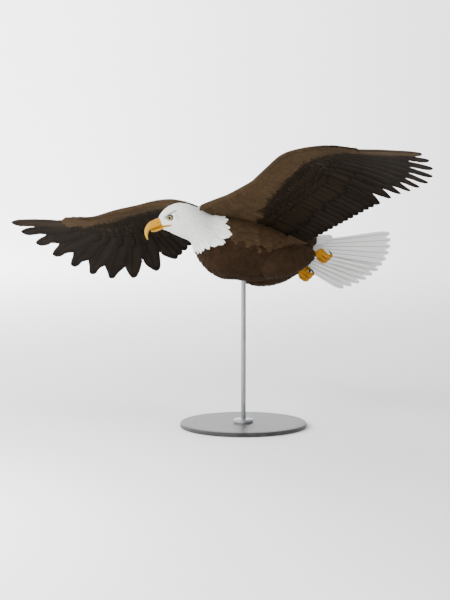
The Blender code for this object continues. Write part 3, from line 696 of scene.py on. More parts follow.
# ---- feathers ----
VANE_SHARES = (0.0, 0.12, 0.30, 0.50, 0.68, 0.82, 0.93, 1.0)
UNWRAP_SPAN = 26.5  # feather boundaries across the unwrap of a wing
BARB_SLANT = 0.8  # how far a barb runs forwards for each metre outwards


class Outline(Enum):
    """Named outlines of small feathers: shares of the length, and half widths there."""

    ROUND = (VANE_SHARES, (0.30, 0.62, 0.90, 1.0, 0.97, 0.80, 0.52, 0.12))
    STRAP = (VANE_SHARES, (0.55, 0.85, 1.0, 1.0, 0.96, 0.84, 0.58, 0.14))
    LOBE = (VANE_SHARES, (0.50, 0.80, 0.97, 1.0, 0.90, 0.70, 0.44, 0.12))
    TINY = ((0.0, 0.30, 0.65, 1.0), (0.60, 1.0, 0.75, 0.12))


class FeatherBed:
    """Many small closed vanes, gathered into one mesh with the numbers that their finish reads."""

    def __init__(self, seed: int) -> None:
        """Starts an empty bed with its own fixed run of random numbers.

        Args:
            seed: Starts its run of random numbers.
        """
        self.draw = np.random.default_rng(seed)
        self.points: list[Array] = []
        self.faces: list[Array] = []
        self.values: dict[str, list[Array]] = {k: [] for k in ("tone", "shade", "along", "across", "run")}
        self.uv: list[Array] = []
        self.count = 0

    def add(
        self, path: list, normals: list, width: Array, place: Array, shade: Array,
        outline: Outline = Outline.ROUND, thick: float = 0.0009, cup: float = 0.16,
    ) -> None:
        """Adds feathers that each run through three points.

        Args:
            path: Their roots, middles and tips, as three arrays.
            normals: Outward directions at the same places.
            width: The widest part of each.
            place: The root's place on the unwrap of the skin, as (count, 2).
            shade: Each feather's darkness, 0 pale to 1 dark: its marking, and painted shade on some tracts.
            outline: The shape of the vane.
            thick: Thickness along the shaft.
            cup: How far the rims turn down, as a share of the width.
        """
        shares, halves = (np.array(v) for v in outline.value)
        count, stations = len(width), len(shares)
        if not count:
            return
        t = shares[None, :, None]
        root, middle, tip = (places[:, None] for places in path)
        line = root * (1 - t) * (1 - 2 * t) + middle * 4 * t * (1 - t) + tip * t * (2 * t - 1)
        along = unit(root * (4 * t - 3) + middle * (4 - 8 * t) + tip * (4 * t - 1))
        up = normals[0][:, None] * (1 - t) + normals[2][:, None] * t
        up = unit(up - along * (up * along).sum(-1, keepdims=True))
        across = np.cross(along, up)
        half = (halves[None, :] * width[:, None] / 2)[..., None]
        rise = thick * np.interp(shares, (0, 1), (1.0, 0.5))[None, :, None] / 2
        rim = up * half * cup * 2 * half / (width[:, None, None] / 2)
        corners = np.stack(
            [line - across * half - rim, line + up * rise, line + across * half - rim, line - up * rise], axis=2
        )
        self.points.append(corners.reshape(-1, 3))
        ring = np.array([[k, (k + 1) % 4, (k + 1) % 4 + 4, k + 4] for k in range(4)])
        tube = (np.arange(stations - 1)[:, None, None] * 4 + ring[None]).reshape(-1, 4)
        last = (stations - 1) * 4
        whole = np.concatenate([tube, [[3, 2, 1, 0]], [[last, last + 1, last + 2, last + 3]]])
        per = stations * 4
        corner = self.count + np.arange(count)[:, None, None] * per + whole[None]
        self.faces.append(corner.reshape(-1, 4)[:, ::-1])
        self.count += count * per
        shape = (count, stations, 4)
        length = np.linalg.norm(path[2] - path[0], axis=1)
        side = np.broadcast_to(np.array([-1.0, 0.0, 1.0, 0.0]), shape)
        share = np.broadcast_to(shares[None, :, None], shape)
        numbers = {
            "tone": self.draw.uniform(-1, 1, count)[:, None, None],
            "shade": shade[:, None, None],
            "along": share,
            "across": side,
            "run": share * length[:, None, None] - np.abs(side) * half * BARB_SLANT,
        }
        for label, number in numbers.items():
            self.values[label].append(np.broadcast_to(number, shape).ravel())
        patch = np.stack([side * 0.0015, share * 0.003], axis=-1)
        self.uv.append((place[:, None, None] + patch).reshape(-1, 2))

    def piece(self, name: str, finish: Material, slot: str, *nodes: str) -> None:
        """Makes the gathered feathers one piece.

        Args:
            name: The piece's name.
            finish: Its material.
            slot: The record's material slot.
            nodes: CAD nodes that it stands for.
        """
        values = {k: np.concatenate(v) for k, v in self.values.items()}
        made = make_object(
            name, np.concatenate(self.points), [np.concatenate(self.faces)], finish,
            values=values, uv=np.clip(np.concatenate(self.uv), 0, 1), crease=70,
        )
        place_piece(made, slot, *nodes)


class LoftForm:
    """A rounded form through rings: the outer reach of the coat, with the skin under it."""

    def __init__(self, rings: Array, rows: int, depth: tuple[tuple[float, float], ...]) -> None:
        """Reads a fine grid off a smooth surface through the rings.

        Args:
            rings: Points by ring and place round it, from the front backwards.
            rows: Rows of the grid.
            depth: Depth of the coat at distances along the form.
        """
        centres = rings.mean(axis=1)
        steps = np.linalg.norm(np.diff(centres, axis=0), axis=1)
        knots = np.concatenate([[0], np.cumsum(steps)])
        self.length = float(knots[-1])
        self.at = np.linspace(0, self.length, rows)
        self.grid = smooth_along(knots, rings, self.at)
        self.depth = np.interp(self.at, *np.array(depth).T)
        self.finish_grid()

    def finish_grid(self) -> None:
        """Works out the outward directions from the grid."""
        onward = np.gradient(self.grid, axis=0)
        around = np.roll(self.grid, -1, axis=1) - np.roll(self.grid, 1, axis=1)
        self.onward = unit(onward)
        self.normal = unit(np.cross(around, onward))
        outward = self.grid - self.grid.mean(axis=1, keepdims=True)
        if (self.normal * outward).sum() < 0:
            self.normal = -self.normal
        self.girth = np.linalg.norm(around, axis=2).sum(axis=1) / 2

    def read(self, field_of: Array, along: Array, turn: Array) -> Array:
        """Reads a grid of numbers or vectors.

        Args:
            field_of: The grid.
            along: Distances along the form.
            turn: Places round it, where 1 is the whole way.

        Returns:
            A value for each place.
        """
        rows, columns = self.grid.shape[:2]
        r = np.clip(along / self.length * (rows - 1), 0, rows - 1.001)
        c = (turn % 1.0) * columns
        r0, c0 = r.astype(int), c.astype(int) % columns
        fr, fc = (r - r0)[:, None], (c - np.floor(c))[:, None]
        c1 = (c0 + 1) % columns
        low = field_of[r0, c0] * (1 - fc) + field_of[r0, c1] * fc
        high = field_of[r0 + 1, c0] * (1 - fc) + field_of[r0 + 1, c1] * fc
        return low * (1 - fr) + high * fr

    def skin_rings(self) -> Array:
        """The skin's rings, inside the coat by its depth."""
        return self.grid - self.normal * self.depth[:, None, None]

    def rows_between(
        self, start: float, end: float, spacing: float, across: float, draw: np.random.Generator
    ) -> tuple[Array, Array]:
        """Places for feathers in staggered rows.

        Args:
            start: Distance along the form of the first row.
            end: Distance that no row passes.
            spacing: Between rows.
            across: Between feathers in a row.
            draw: The run of random numbers that unsettles them.

        Returns:
            Distances along the form, and places round it.
        """
        along, turn = [], []
        for k, at in enumerate(np.arange(start, end, spacing)):
            girth = float(np.interp(at, self.at, self.girth))
            count = max(int(round(girth / across)), 5)
            turn.append((np.arange(count) + 0.5 * (k % 2) + draw.uniform(-0.22, 0.22, count)) / count)
            along.append(at + draw.uniform(-0.22, 0.22, count) * spacing)
        return np.concatenate(along), np.concatenate(turn)

    def lay(
        self, bed: FeatherBed, along: Array, turn: Array, length: Array, width: Array, shade: Array,
        outline: Outline = Outline.ROUND, lift: float = 0.0006, stray: float = 0.10, **more,
    ) -> None:
        """Lays feathers on the form from their roots backwards, each bent to the form.

        Args:
            bed: The bed that takes them.
            along: Distances of the roots along the form.
            turn: Places of the roots round it.
            length: Lengths.
            width: Widths.
            shade: Darkness of each, from its marking and from painted shade.
            outline: The vane's outline.
            lift: How far a tip stands over the coat's reach.
            stray: How far a feather may lie off the run of the coat, in radians.
            more: Other arguments of the bed.
        """
        draw = bed.draw
        angle = draw.normal(0, stray, len(along))
        girth = np.interp(along, self.at, self.girth)
        places, normals = [], []
        for share in (0.0, 0.5, 1.0):
            reach = along + length * share * np.cos(angle)
            over = np.maximum(reach - self.length, 0)[:, None]
            round_to = turn + length * share * np.sin(angle) / girth
            point = self.read(self.grid, reach, round_to)
            up = unit(self.read(self.normal, reach, round_to))
            depth = np.interp(reach, self.at, self.depth)
            height = -depth * (1.04 - 1.02 * share**0.8) + share * (lift + draw.uniform(0, 0.0007, len(along)))
            onward = unit(self.read(self.onward, reach, round_to))
            places.append(point + onward * over + up * height[:, None])
            normals.append(up)
        place = np.stack([0.01 + 0.98 * (turn % 1.0), 0.01 + 0.98 * along / self.length], axis=1)
        bed.add(places, normals, width, place, shade, outline, **more)


# ---- body ----
@dataclass
class BodyShape:
    """Sizes of the body, neck and head, as in the CAD solids."""

    trunk: tuple = (  # y, half width, centre z, half height, roll in degrees
        (-0.128, 0.063, 0.002, 0.073, 0),
        (-0.090, 0.080, -0.011, 0.096, 0),
        (-0.035, 0.095, -0.0215, 0.1095, 0),
        (0.030, 0.102, -0.0195, 0.1075, 0),
        (0.090, 0.101, -0.0200, 0.1030, 0),
        (0.150, 0.092, -0.0155, 0.0915, 2),
        (0.205, 0.084, -0.0060, 0.0740, 8),
        (0.250, 0.080, 0.0080, 0.0505, 17),
        (0.300, 0.080, 0.0030, 0.0180, 28),
    )
    head: tuple = (  # forward, half width, top, bottom
        (0.031, 0.0180, 0.0155, -0.0235),
        (0.021, 0.0275, 0.0245, -0.0300),
        (0.006, 0.0370, 0.0330, -0.0450),
        (-0.010, 0.0425, 0.0385, -0.0610),
        (-0.028, 0.0455, 0.0405, -0.0770),
        (-0.046, 0.0480, 0.0385, -0.0920),
        (-0.064, 0.0510, 0.0350, -0.1040),
    )
    neck_steps: int = 5
    neck_span: tuple[float, float] = (0.062, 0.200)
    columns: int = 144
    rows: int = 520
    eye_at: tuple[float, float, float] = (0.0300, 0.001, 0.0085)  # aside, forward, up
    eye_radius: float = 0.0105
    depths: tuple = (
        (0.0, 0.0010), (0.012, 0.0018), (0.03, 0.0026), (0.09, 0.0045),
        (0.18, 0.0075), (0.26, 0.0100), (0.45, 0.0095), (0.60, 0.0050),
    )

    def head_matrix(self) -> Matrix:
        """The head's axes in the bird's, level across while the body banks.

        Returns:
            The matrix.
        """
        body = Euler((-NOSE_UP, 0, 0)).to_matrix() @ Euler((0, -BANK, 0)).to_matrix()
        level = Euler((0, 0, -HEAD_TURN)).to_matrix() @ Euler((HEAD_DOWN, 0, 0)).to_matrix()
        return Matrix.Translation(HEAD_AT) @ (body.transposed() @ level).to_4x4()

    def rings(self) -> Array:
        """Rings from the forehead back to the tail coverts, in the bird's axes.

        Returns:
            Points by ring and place round it.
        """
        rings = []
        for y, half_width, centre, half_height, roll in reversed(self.trunk):
            tilt = Matrix.Rotation(-math.radians(roll), 3, "Y").to_4x4()
            ring = section(half_width, half_height, half_height, self.columns)
            rings.append(carried(ring, tilt) + np.array([0, y, centre]))
        head = self.head_matrix()
        start_y, start_width, start_z, start_height, _ = self.trunk[0]
        far, far_width, far_top, far_bottom = self.head[-1]
        start = Vector((0, start_y, start_z))
        end = head @ Vector((0, -far, 0))
        pull = (start - end).length * 0.45
        out = start + Vector((0, -pull, 0))
        back = end + (head.to_3x3() @ Vector((0, 1, 0)) + Vector((0, 1, 0))) * pull * 0.4
        for k in range(1, self.neck_steps):
            t = k / self.neck_steps
            centre = start * (1 - t) ** 3 + out * 3 * t * (1 - t) ** 2 + back * 3 * t * t * (1 - t) + end * t**3
            turn = Quaternion().slerp(head.to_quaternion(), t).to_matrix().to_4x4()
            width = start_width + (far_width - start_width) * t**1.6
            top = start_height + (far_top - start_height) * min(1.0, t * 1.2)
            bottom = start_height + (-far_bottom - start_height) * t**1.8
            rings.append(carried(section(width, top, bottom, self.columns), turn) + np.array(centre))
        for forward, half_width, top, bottom in reversed(self.head):
            ring = section(half_width, top, -bottom, self.columns, 2.3)
            ring[:, 1] = -forward
            rings.append(carried(ring, head))
        return np.array(rings[::-1])

    def fair_neck(self, form: LoftForm) -> None:
        """Draws a smooth run from the cheeks to the breast, over the hollow where the neck bends.

        Args:
            form: The form, whose grid is changed.
        """
        first, last = np.searchsorted(form.at, self.neck_span)
        t = np.linspace(0, 1, last - first + 1)[:, None, None]
        low, high = form.grid[first], form.grid[last]
        chord = np.linalg.norm(high - low, axis=1, keepdims=True)
        out = unit(form.grid[first] - form.grid[first - 6]) * chord
        back = unit(form.grid[last + 6] - form.grid[last]) * chord
        form.grid[first : last + 1] = hermite(t, low, out, high, back)
        form.finish_grid()

    def sculpt_head(self, form: LoftForm) -> None:
        """Raises the brows and hollows the eye sockets and lores of a body form.

        Args:
            form: The form, whose grid is changed.
        """
        head = self.head_matrix()
        local = carried(form.grid, head.inverted())
        x, forward, z = local[..., 0], -local[..., 1], local[..., 2]
        side = np.sign(x) * ease(np.abs(x), 0.008, 0.018) * (forward > -0.05)

        def bump(f0: float, z0: float, f_size: float, z_size: float) -> Array:
            """A soft round bump about a place on the side of the head."""
            return np.exp(-(((forward - f0) / f_size) ** 2) - ((z - z0) / z_size) ** 2)

        ridge = 0.0155 - 0.20 * (forward - 0.001)
        over = ease(z, ridge - 0.0025, ridge + 0.0015) * (1 - ease(z, ridge + 0.003, ridge + 0.018))
        brow = 0.0066 * over * np.exp(-(((forward - 0.006) / 0.016) ** 2))
        socket = 0.0038 * bump(0.003, 0.0065, 0.013, 0.0075)
        lore = 0.0022 * bump(0.020, 0.0045, 0.008, 0.006)
        cheek = 0.0018 * bump(-0.012, -0.022, 0.014, 0.014)
        local[..., 0] += side * (brow - socket - lore + cheek)
        form.grid = carried(local, head)
        form.finish_grid()


# ---- large feathers ----
ACROSS = np.array([-1.0, -0.72, -0.40, -0.001, 0.0, 0.001, 0.40, 0.72, 1.0])  # inner rim, shaft, outer rim
RIDGE = np.array([0, 0, 0, 0.15, 0.45, 0.15, 0, 0, 0])  # how far the shaft stands up, in quills
VANE_HALF = 0.00032  # half a wing feather's thickness


def keel_profile(depth: float) -> Array:
    """How far the shaft stands out below the vane, in quills."""
    return np.array([0, 0, 0, 0.5, depth, 0.5, 0, 0, 0])


def nicks(draw: np.random.Generator, count: int, rare: float, deep: tuple[float, float]) -> Array:
    """Wear along the rims of one large feather.

    Args:
        draw: The run of random numbers.
        count: Rows of the vane.
        rare: How much of each rim is whole.
        deep: The shallowest and the deepest nick, as shares of the width.

    Returns:
        Shares of the width that are left, for both rims.
    """
    return 1 - (draw.uniform(0, 1, (2, count)) > rare) * draw.uniform(*deep, (2, count))


def vane_grid(inner: Array, outer: Array, quill: Array) -> Array:
    """Places across a large feather.

    Args:
        inner: Width of the inner vane at each row.
        outer: Width of the outer vane.
        quill: Half width of the shaft.

    Returns:
        Distances from the shaft's middle by row and column, below 0 on the inner vane.
    """
    wide = np.where(ACROSS < 0, inner[:, None], outer[:, None]) * ACROSS
    wide[:, 3], wide[:, 5] = -quill, quill
    return wide


def plate_numbers(
    tone: float, shade: float | Array, along: Array, run: Array, wide: Array
) -> dict[str, Array]:
    """The numbers that the finish reads at each point of a large feather.

    Args:
        tone: The feather's own lightness, -1 to 1.
        shade: Its darkness: a wing feather's marking, and painted shade at the tail's roots.
        along: Share of the length at each row.
        run: Distance along the shaft at each row.
        wide: Places across it.

    Returns:
        Numbers by row, side of the vane and place across, by name.
    """
    numbers = {
        "tone": tone,
        "shade": shade,
        "along": along[:, None, None],
        "across": ACROSS,
        "run": run[:, None, None] - np.abs(wide)[:, None] * BARB_SLANT,
    }
    return {label: np.broadcast_to(number, (len(along), 2, len(ACROSS))) for label, number in numbers.items()}


def plate_unwrap(number: int, count: int, share: Array) -> Array:
    """Places of a large feather on the unwrap: its own column, with the under side above the upper.

    Args:
        number: Which column is its own.
        count: How many columns there are.
        share: Share of the column's height at each row.

    Returns:
        Places by row, side of the vane and place across.
    """
    shape = (len(share), 2, len(ACROSS))
    column = (number + 0.5 + 0.46 * ACROSS) / count
    level = (0.01 + 0.48 * share)[:, None, None] + np.array([0.0, 0.5])[:, None]
    return np.stack([np.broadcast_to(column, shape), np.broadcast_to(level, shape)], axis=-1)


# ---- wings ----
class Face(Enum):
    """Which side of the wing feathers lie on."""

    UPPER = 1
    UNDER = -1


@dataclass(frozen=True)
class CovertRow:
    """One row of coverts: where its roots lie across the arm, and the size of its feathers."""

    at: float  # share of the way from the leading edge to the coverts' edge
    count: int
    length: float
    width: float
    outline: Outline = Outline.ROUND
    start: float = -0.9  # first and last feather boundary that the row spans
    end: float = 25.0
    lean: float = 0.0  # radians outwards
    raised: float = 0.0  # extra height of the tips


@dataclass
class Wing:
    """One wing, laid out flat with u along the span and v backwards, and bent as the CAD solids are."""

    name: str
    side: int
    arm: float
    hand: float
    sweep: float
    wrist: float
    arm_twist: float
    hand_twist: float
    tip: float
    bend_span: tuple[float, float]
    lift_span: tuple[float, float]
    band: float = 1.0  # how much of the pale leading band shows on the under side
    steps: int = 110
    secondaries: int = 15
    primaries: int = 10
    elbow: int = 6  # the feather boundary at which the arm's nodes part
    shoulder: tuple[float, float, float] = (0.075, -0.030, 0.050)
    wrist_at: tuple[float, float] = (0.365, -0.020)
    hand_bones: float = 0.135
    lengths: tuple = (0.315, 0.323, 0.334, 0.350, 0.368, 0.392, 0.412, 0.426, 0.434, 0.428)
    leading: tuple = ((0.0, -0.135), (0.09, -0.093), (0.20, -0.066), (0.36, -0.068))
    hand_front: float = -0.044
    thick: tuple = (0.046, 0.034, 0.024, 0.009)
    covert_edge: float = 0.0045
    camber: tuple[float, float, float] = (0.018, 0.08, 0.20)  # height, crest, reach
    line: Array = field(init=False)
    backs: Array = field(init=False)
    ups: Array = field(init=False)

    def __post_init__(self) -> None:
        """Works out the bent spine and the flat layout."""
        sweep = math.radians(self.sweep)
        out = np.array([math.cos(sweep), math.sin(sweep), 0])
        back = np.array([-math.sin(sweep), math.cos(sweep), 0])
        up = np.array([0.0, 0.0, 1.0])
        self.step = 1.1 / self.steps
        u = np.arange(self.steps + 1) * self.step
        raised = self.arm + (self.hand - self.arm) * ease(u, *self.bend_span)
        raised = np.radians(raised + self.tip * ease(u, *self.lift_span))[:, None]
        twist = np.radians(self.arm_twist + (self.hand_twist - self.arm_twist) * ease(u, 0.10, 0.70))[:, None]
        along = out * np.cos(raised) + up * np.sin(raised)
        rise = up * np.cos(raised) - out * np.sin(raised)
        self.backs = back * np.cos(twist) - rise * np.sin(twist)
        self.ups = rise * np.cos(twist) + back * np.sin(twist)
        self.line = np.array(self.shoulder) + np.concatenate([[[0, 0, 0]], np.cumsum(along, axis=0) * self.step])
        self.lay_out()

    def bend(self, flat: Array, height: Array) -> Array:
        """Carries flat points to the bird's axes.

        Args:
            flat: Span and chord, in the last axis.
            height: Height over the flat layout.

        Returns:
            Points in the bird's axes.
        """
        u, v = flat[..., 0], flat[..., 1]
        rise, crest, reach = self.camber
        w = height + rise * (1 - ((v - crest) / reach) ** 2)
        at = np.clip(u / self.step, 0, self.steps - 1e-6)
        k = at.astype(int)
        share = (at - k)[..., None]
        line = self.line[k] * (1 - share) + self.line[k + 1] * share
        line = line + (self.line[1] - self.line[0]) * np.minimum(u / self.step, 0)[..., None]
        back = self.backs[k] * (1 - share) + self.backs[k + 1] * share
        up = self.ups[k] * (1 - share) + self.ups[k + 1] * share
        return (line + back * v[..., None] + up * w[..., None]) * np.array([self.side, 1, 1])

    def outward(self, flat: Array, face: Face) -> Array:
        """Directions out of one face of the wing at flat points."""
        low = self.bend(flat, np.zeros(flat.shape[:-1]))
        return unit(self.bend(flat, np.full(flat.shape[:-1], 0.001)) - low) * face.value

    def on_hand(self, point: Array, share: float = 1.0) -> Array:
        """A flat point turned about the wrist with the hand.

        Args:
            point: Span and chord.
            share: How much of the wrist's turn it takes.

        Returns:
            The turned point.
        """
        angle = math.radians(self.wrist) * share
        dx, dy = np.asarray(point, float) - np.array(self.wrist_at)
        c, s = math.cos(angle), math.sin(angle)
        return np.array(self.wrist_at) + np.array([dx * c - dy * s, dx * s + dy * c])

    def lay_out(self) -> None:
        """Lays out feather bases and tips, and the boundaries between feathers, as the solids have them."""
        bases, tips = [], []
        for k in range(self.secondaries):
            share = (k + 0.5) / self.secondaries
            u = 0.012 + 0.360 * share
            bases.append([u, 0.135 + 0.017 * share])
            tips.append([u - 0.012 + 0.016 * share, 0.250 + 0.058 * share])
        for k in range(self.primaries):
            share = k / (self.primaries - 1)
            angle = math.radians(6 + 81 * (1 - share) ** 1.15 + self.wrist * (0.15 + 0.85 * share))
            offset = np.array([self.hand_bones * share, 0.010 * (1 - share)])
            root = self.on_hand(np.array(self.wrist_at) + offset)
            heading = np.array([math.cos(angle), math.sin(angle)])
            bases.append(root + heading * self.lengths[k] * (0.45 - 0.11 * share))
            tips.append(root + heading * self.lengths[k])
        self.bases, self.tips = np.array(bases), np.array(tips)
        count = len(bases)
        inner = (self.bases[:-1] + self.bases[1:]) / 2
        first, last = self.bases[0] * 2 - inner[0], self.bases[-1] * 2 - inner[-1]
        self.starts = np.concatenate([[first], inner, [last]])
        notches = []
        for k in range(count + 1):
            middle = (self.tips[max(k - 1, 0)] + self.tips[min(k, count - 1)]) / 2
            outer = max(0.0, (k - self.secondaries - 2) / (self.primaries - 2))
            share = 0.90 - 0.30 * min(1.0, outer**0.7)
            notches.append(self.starts[k] * (1 - share) + middle * share)
        notches[0][0] = self.starts[0][0]
        reach = self.bases[-1] * 0.4 + self.tips[-1] * 0.6
        notches[-1] = reach + self.starts[-1] - self.bases[-1]
        self.notches = np.array(notches)
        self.fronts = np.array([self.leading_edge(k) for k in range(count + 1)])
        self.halves = np.array([self.thickness(k) for k in range(count + 1)])
        self.boundaries = np.arange(count + 1, dtype=float)
        self.headings = unit(self.tips - self.bases)

    def leading_edge(self, k: int) -> Array:
        """The leading edge's point for feather boundary k.

        Args:
            k: The feather boundary, counted from the body.

        Returns:
            Span and chord.
        """
        knots = np.array(self.leading)
        if k <= self.secondaries:
            u = self.starts[k][0] * self.wrist_at[0] / self.starts[self.secondaries][0]
            v = np.interp(u, knots[:, 0], knots[:, 1])
            low = knots[1] - knots[0]
            return np.array([u, knots[0][1] + low[1] / low[0] * u if u < 0 else v])
        share = (k - self.secondaries) / self.primaries
        along = share * (self.hand_bones + 0.075)
        front = knots[-1][1] + (self.hand_front - knots[-1][1]) * float(ease(share, 0, 0.9))
        return self.on_hand(np.array([self.wrist_at[0] + along, front]), float(ease(share, 0, 0.4)))

    def thickness(self, k: int) -> float:
        """The arm's thickness at feather boundary k.

        Args:
            k: The feather boundary, counted from the body.

        Returns:
            The thickness.
        """
        shoulder, elbow, wrist, outer = self.thick
        if k < self.elbow:
            return shoulder + (elbow - shoulder) * k / self.elbow
        if k < self.secondaries:
            return elbow + (wrist - elbow) * (k - self.elbow) / (self.secondaries - self.elbow)
        share = (k - self.secondaries) / self.primaries
        return wrist + (outer - wrist) * share**0.7

    def across(self, values: Array, k: Array) -> Array:
        """Reads numbers kept at the feather boundaries, straight on beyond both ends.

        Args:
            values: One row for each boundary.
            k: Boundaries, whole or between.

        Returns:
            One row for each of k.
        """
        low = np.clip(np.floor(k).astype(int), 0, len(values) - 2)
        share = (k - low).reshape((-1,) + (1,) * (values.ndim - 1))
        return values[low] * (1 - share) + values[low + 1] * share

    def heading(self, k: Array) -> Array:
        """The direction of the flight feathers at boundaries k."""
        return unit(self.across(self.headings, np.clip(k - 0.5, 0, len(self.headings) - 1.001)))

    def half_height(self, k: Array, along: Array) -> Array:
        """Half the arm's thickness at a share of the way from its leading edge to the coverts' edge.

        Args:
            k: Boundaries, whole or between.
            along: Shares of the way.

        Returns:
            Half heights.
        """
        thick = np.interp(k, self.boundaries, self.halves)
        nose = np.sqrt(np.maximum(1 - (1 - np.minimum(along / 0.22, 1.0)) ** 2, 0))
        taper = thick + (self.covert_edge - thick) * ease(along, 0.18, 1.0)
        return np.maximum(nose * taper, 0.12 * thick) / 2

    def arm_skin(self, finish: Material) -> Object:
        """The skin of the arm and hand, inside the coverts.

        Args:
            finish: The material.

        Returns:
            The object.
        """
        k = np.concatenate([[-1.6], np.arange(0, 25.01, 0.25)])
        along = np.array([0.0, 0.012, 0.04, 0.09, 0.17, 0.28, 0.42, 0.58, 0.76, 0.94])
        rings = []
        for share, face in [(s, Face.UPPER) for s in along] + [(s, Face.UNDER) for s in along[::-1]]:
            front, rear = self.across(self.fronts, k), self.across(self.starts, k)
            flat = front + (rear - front) * share
            half = self.half_height(k, np.full(len(k), share + 0.004))
            inner = np.maximum(half * 0.84 - 0.0005, 0.0006)
            high = inner * (1.25 if face is Face.UPPER else -0.75)
            rings.append(self.bend(flat, high))
        return closed_loft(f"arm_{self.name}", np.stack(rings, axis=1), finish)

    def lay_coverts(self, bed: FeatherBed, face: Face, row: CovertRow, band: Array) -> None:
        """Lays one row of coverts.

        Args:
            bed: The bed that takes them.
            face: The side of the wing they lie on.
            row: The row's place and sizes.
            band: Where the pale leading band ends, as a share of the chord, at each boundary.
        """
        draw = bed.draw
        k = np.linspace(row.start, row.end, row.count) + draw.uniform(-0.16, 0.16, row.count)
        k = k + (row.end - row.start) / row.count * 0.5 * (int(row.at * 1000) % 2)
        k = np.clip(k, row.start, 25.25)
        at = row.at + draw.uniform(-0.010, 0.010, row.count)
        front, rear = self.across(self.fronts, k), self.across(self.starts, k)
        chord = rear - front
        reach = np.linalg.norm(chord, axis=1)
        size = np.clip(reach / 0.235, 0.42, 1.12) * draw.uniform(0.93, 1.07, row.count)
        share = np.clip(0.20 + 0.8 * at, 0, 1)[:, None]
        lie = unit(unit(chord) * (1 - share) + self.heading(k) * share)
        angle = draw.normal(0, 0.05, row.count) - row.lean
        c, s = np.cos(angle)[:, None], np.sin(angle)[:, None]
        lie = lie * c + np.stack([-lie[:, 1], lie[:, 0]], axis=1) * s
        root = front + chord * at[:, None]
        length = row.length * size
        up_share = 1.25 if face is Face.UPPER else 0.75
        path, normals = [], []
        for t in (0.0, 0.5, 1.0):
            flat = root + lie * (length * t)[:, None]
            along = ((flat - front) * chord).sum(1) / reach**2
            half = self.half_height(k, np.minimum(along, 1.0)) * up_share
            coat = half * 0.16 + 0.0006
            past = np.clip(along - 1.0, 0, 1) * reach
            half = np.maximum(half, 0.0034 if face is Face.UPPER else 0.0030)
            high = half - coat * (1 - t) * 1.05 + t * (0.0009 + row.raised) - np.minimum(past * 0.02, 0.0004)
            high = high + draw.uniform(0, 0.0004, row.count) * t
            path.append(self.bend(flat, high * face.value))
            normals.append(self.outward(flat, face))
        limit = np.interp(k, self.boundaries, band)
        shade = np.clip((at + 0.5 * length / reach - limit) / 0.05, 0, 1)
        place = np.stack([0.02 + 0.96 * (k + 1) / UNWRAP_SPAN, 0.05 + 0.9 * at], axis=1)
        bed.add(
            path, normals, row.width * np.clip(size, 0.55, 1.1), place, shade, row.outline, cup=0.10,
        )

    def lay_edge(self, bed: FeatherBed) -> None:
        """Lays small feathers along the leading edge, over the seam between the wing's two sides.

        Args:
            bed: The bed that takes them.
        """
        draw = bed.draw
        for number, rise in enumerate((-0.9, 0.9, -0.45, 0.45, 0.0)):
            k = np.linspace(-1.0, 24.0, 165) + draw.uniform(-0.04, 0.04, 165) + 0.05 * number
            path, normals = [], []
            for t in (0.0, 0.5, 1.0):
                reach = np.minimum(k + 0.95 * t, 25.0)
                front = self.across(self.fronts, reach)
                chord = unit(self.across(self.starts, reach) - front)
                half = self.half_height(reach, np.full(len(k), 0.022))
                flat = front + chord * (0.0042 * rise**2 - 0.0008 - 0.0006 * t)
                low = self.bend(flat, half * rise)
                ahead = unit(self.bend(flat - chord * 0.001, half * rise) - low)
                out = unit(ahead + self.outward(flat, Face.UPPER) * rise)
                path.append(low + out * (0.0003 + 0.0012 * t))
                normals.append(out)
            place = np.stack([0.02 + 0.96 * (k + 1) / UNWRAP_SPAN, np.full(len(k), 0.965 + 0.01 * rise)], axis=1)
            bed.add(
                path, normals, np.full(len(k), 0.0125), place, np.full(len(k), 0.06), Outline.ROUND, cup=0.10,
            )

    def coverts(self, face: Face, finish: Material, seed: int) -> None:
        """Lays all the coverts of one side of the wing as one piece.

        Args:
            face: The side of the wing.
            finish: The material.
            seed: Starts its run of random numbers.
        """
        bed = FeatherBed(seed)
        rows = [CovertRow(a, 84, 0.024, 0.0135) for a in (0.0, 0.03, 0.065, 0.10)]
        rows += [CovertRow(a, 56, 0.037, 0.022) for a in (0.15, 0.205, 0.26, 0.32, 0.38)]
        rows += [CovertRow(a, 38, 0.058, 0.037, Outline.STRAP) for a in (0.44, 0.52)]
        rows += [CovertRow(0.68, 25, 0.128, 0.048, Outline.ROUND, -0.5, 24.5, 0.0, 0.0012)]
        rows += [CovertRow(0.60, 32, 0.068, 0.043, Outline.STRAP)]
        inner = (0.30, 0.45, 0.60) if face is Face.UPPER else (0.35, 0.55)
        rows += [CovertRow(a, 7, 0.085, 0.036, Outline.ROUND, -1.4, 1.6, -0.10, 0.0025) for a in inner]
        band = np.interp(self.boundaries, *BAND_UNDER if face is Face.UNDER else BAND_UPPER)
        if face is Face.UNDER:
            band = np.where(self.boundaries < 22, band * self.band, band)
        for row in rows:
            self.lay_coverts(bed, face, row, band)
        if face is Face.UNDER:
            self.lay_edge(bed)
        label = "upper" if face is Face.UPPER else "under"
        bed.piece(f"coverts_{self.name}_{label}", finish, "brown_feathers")

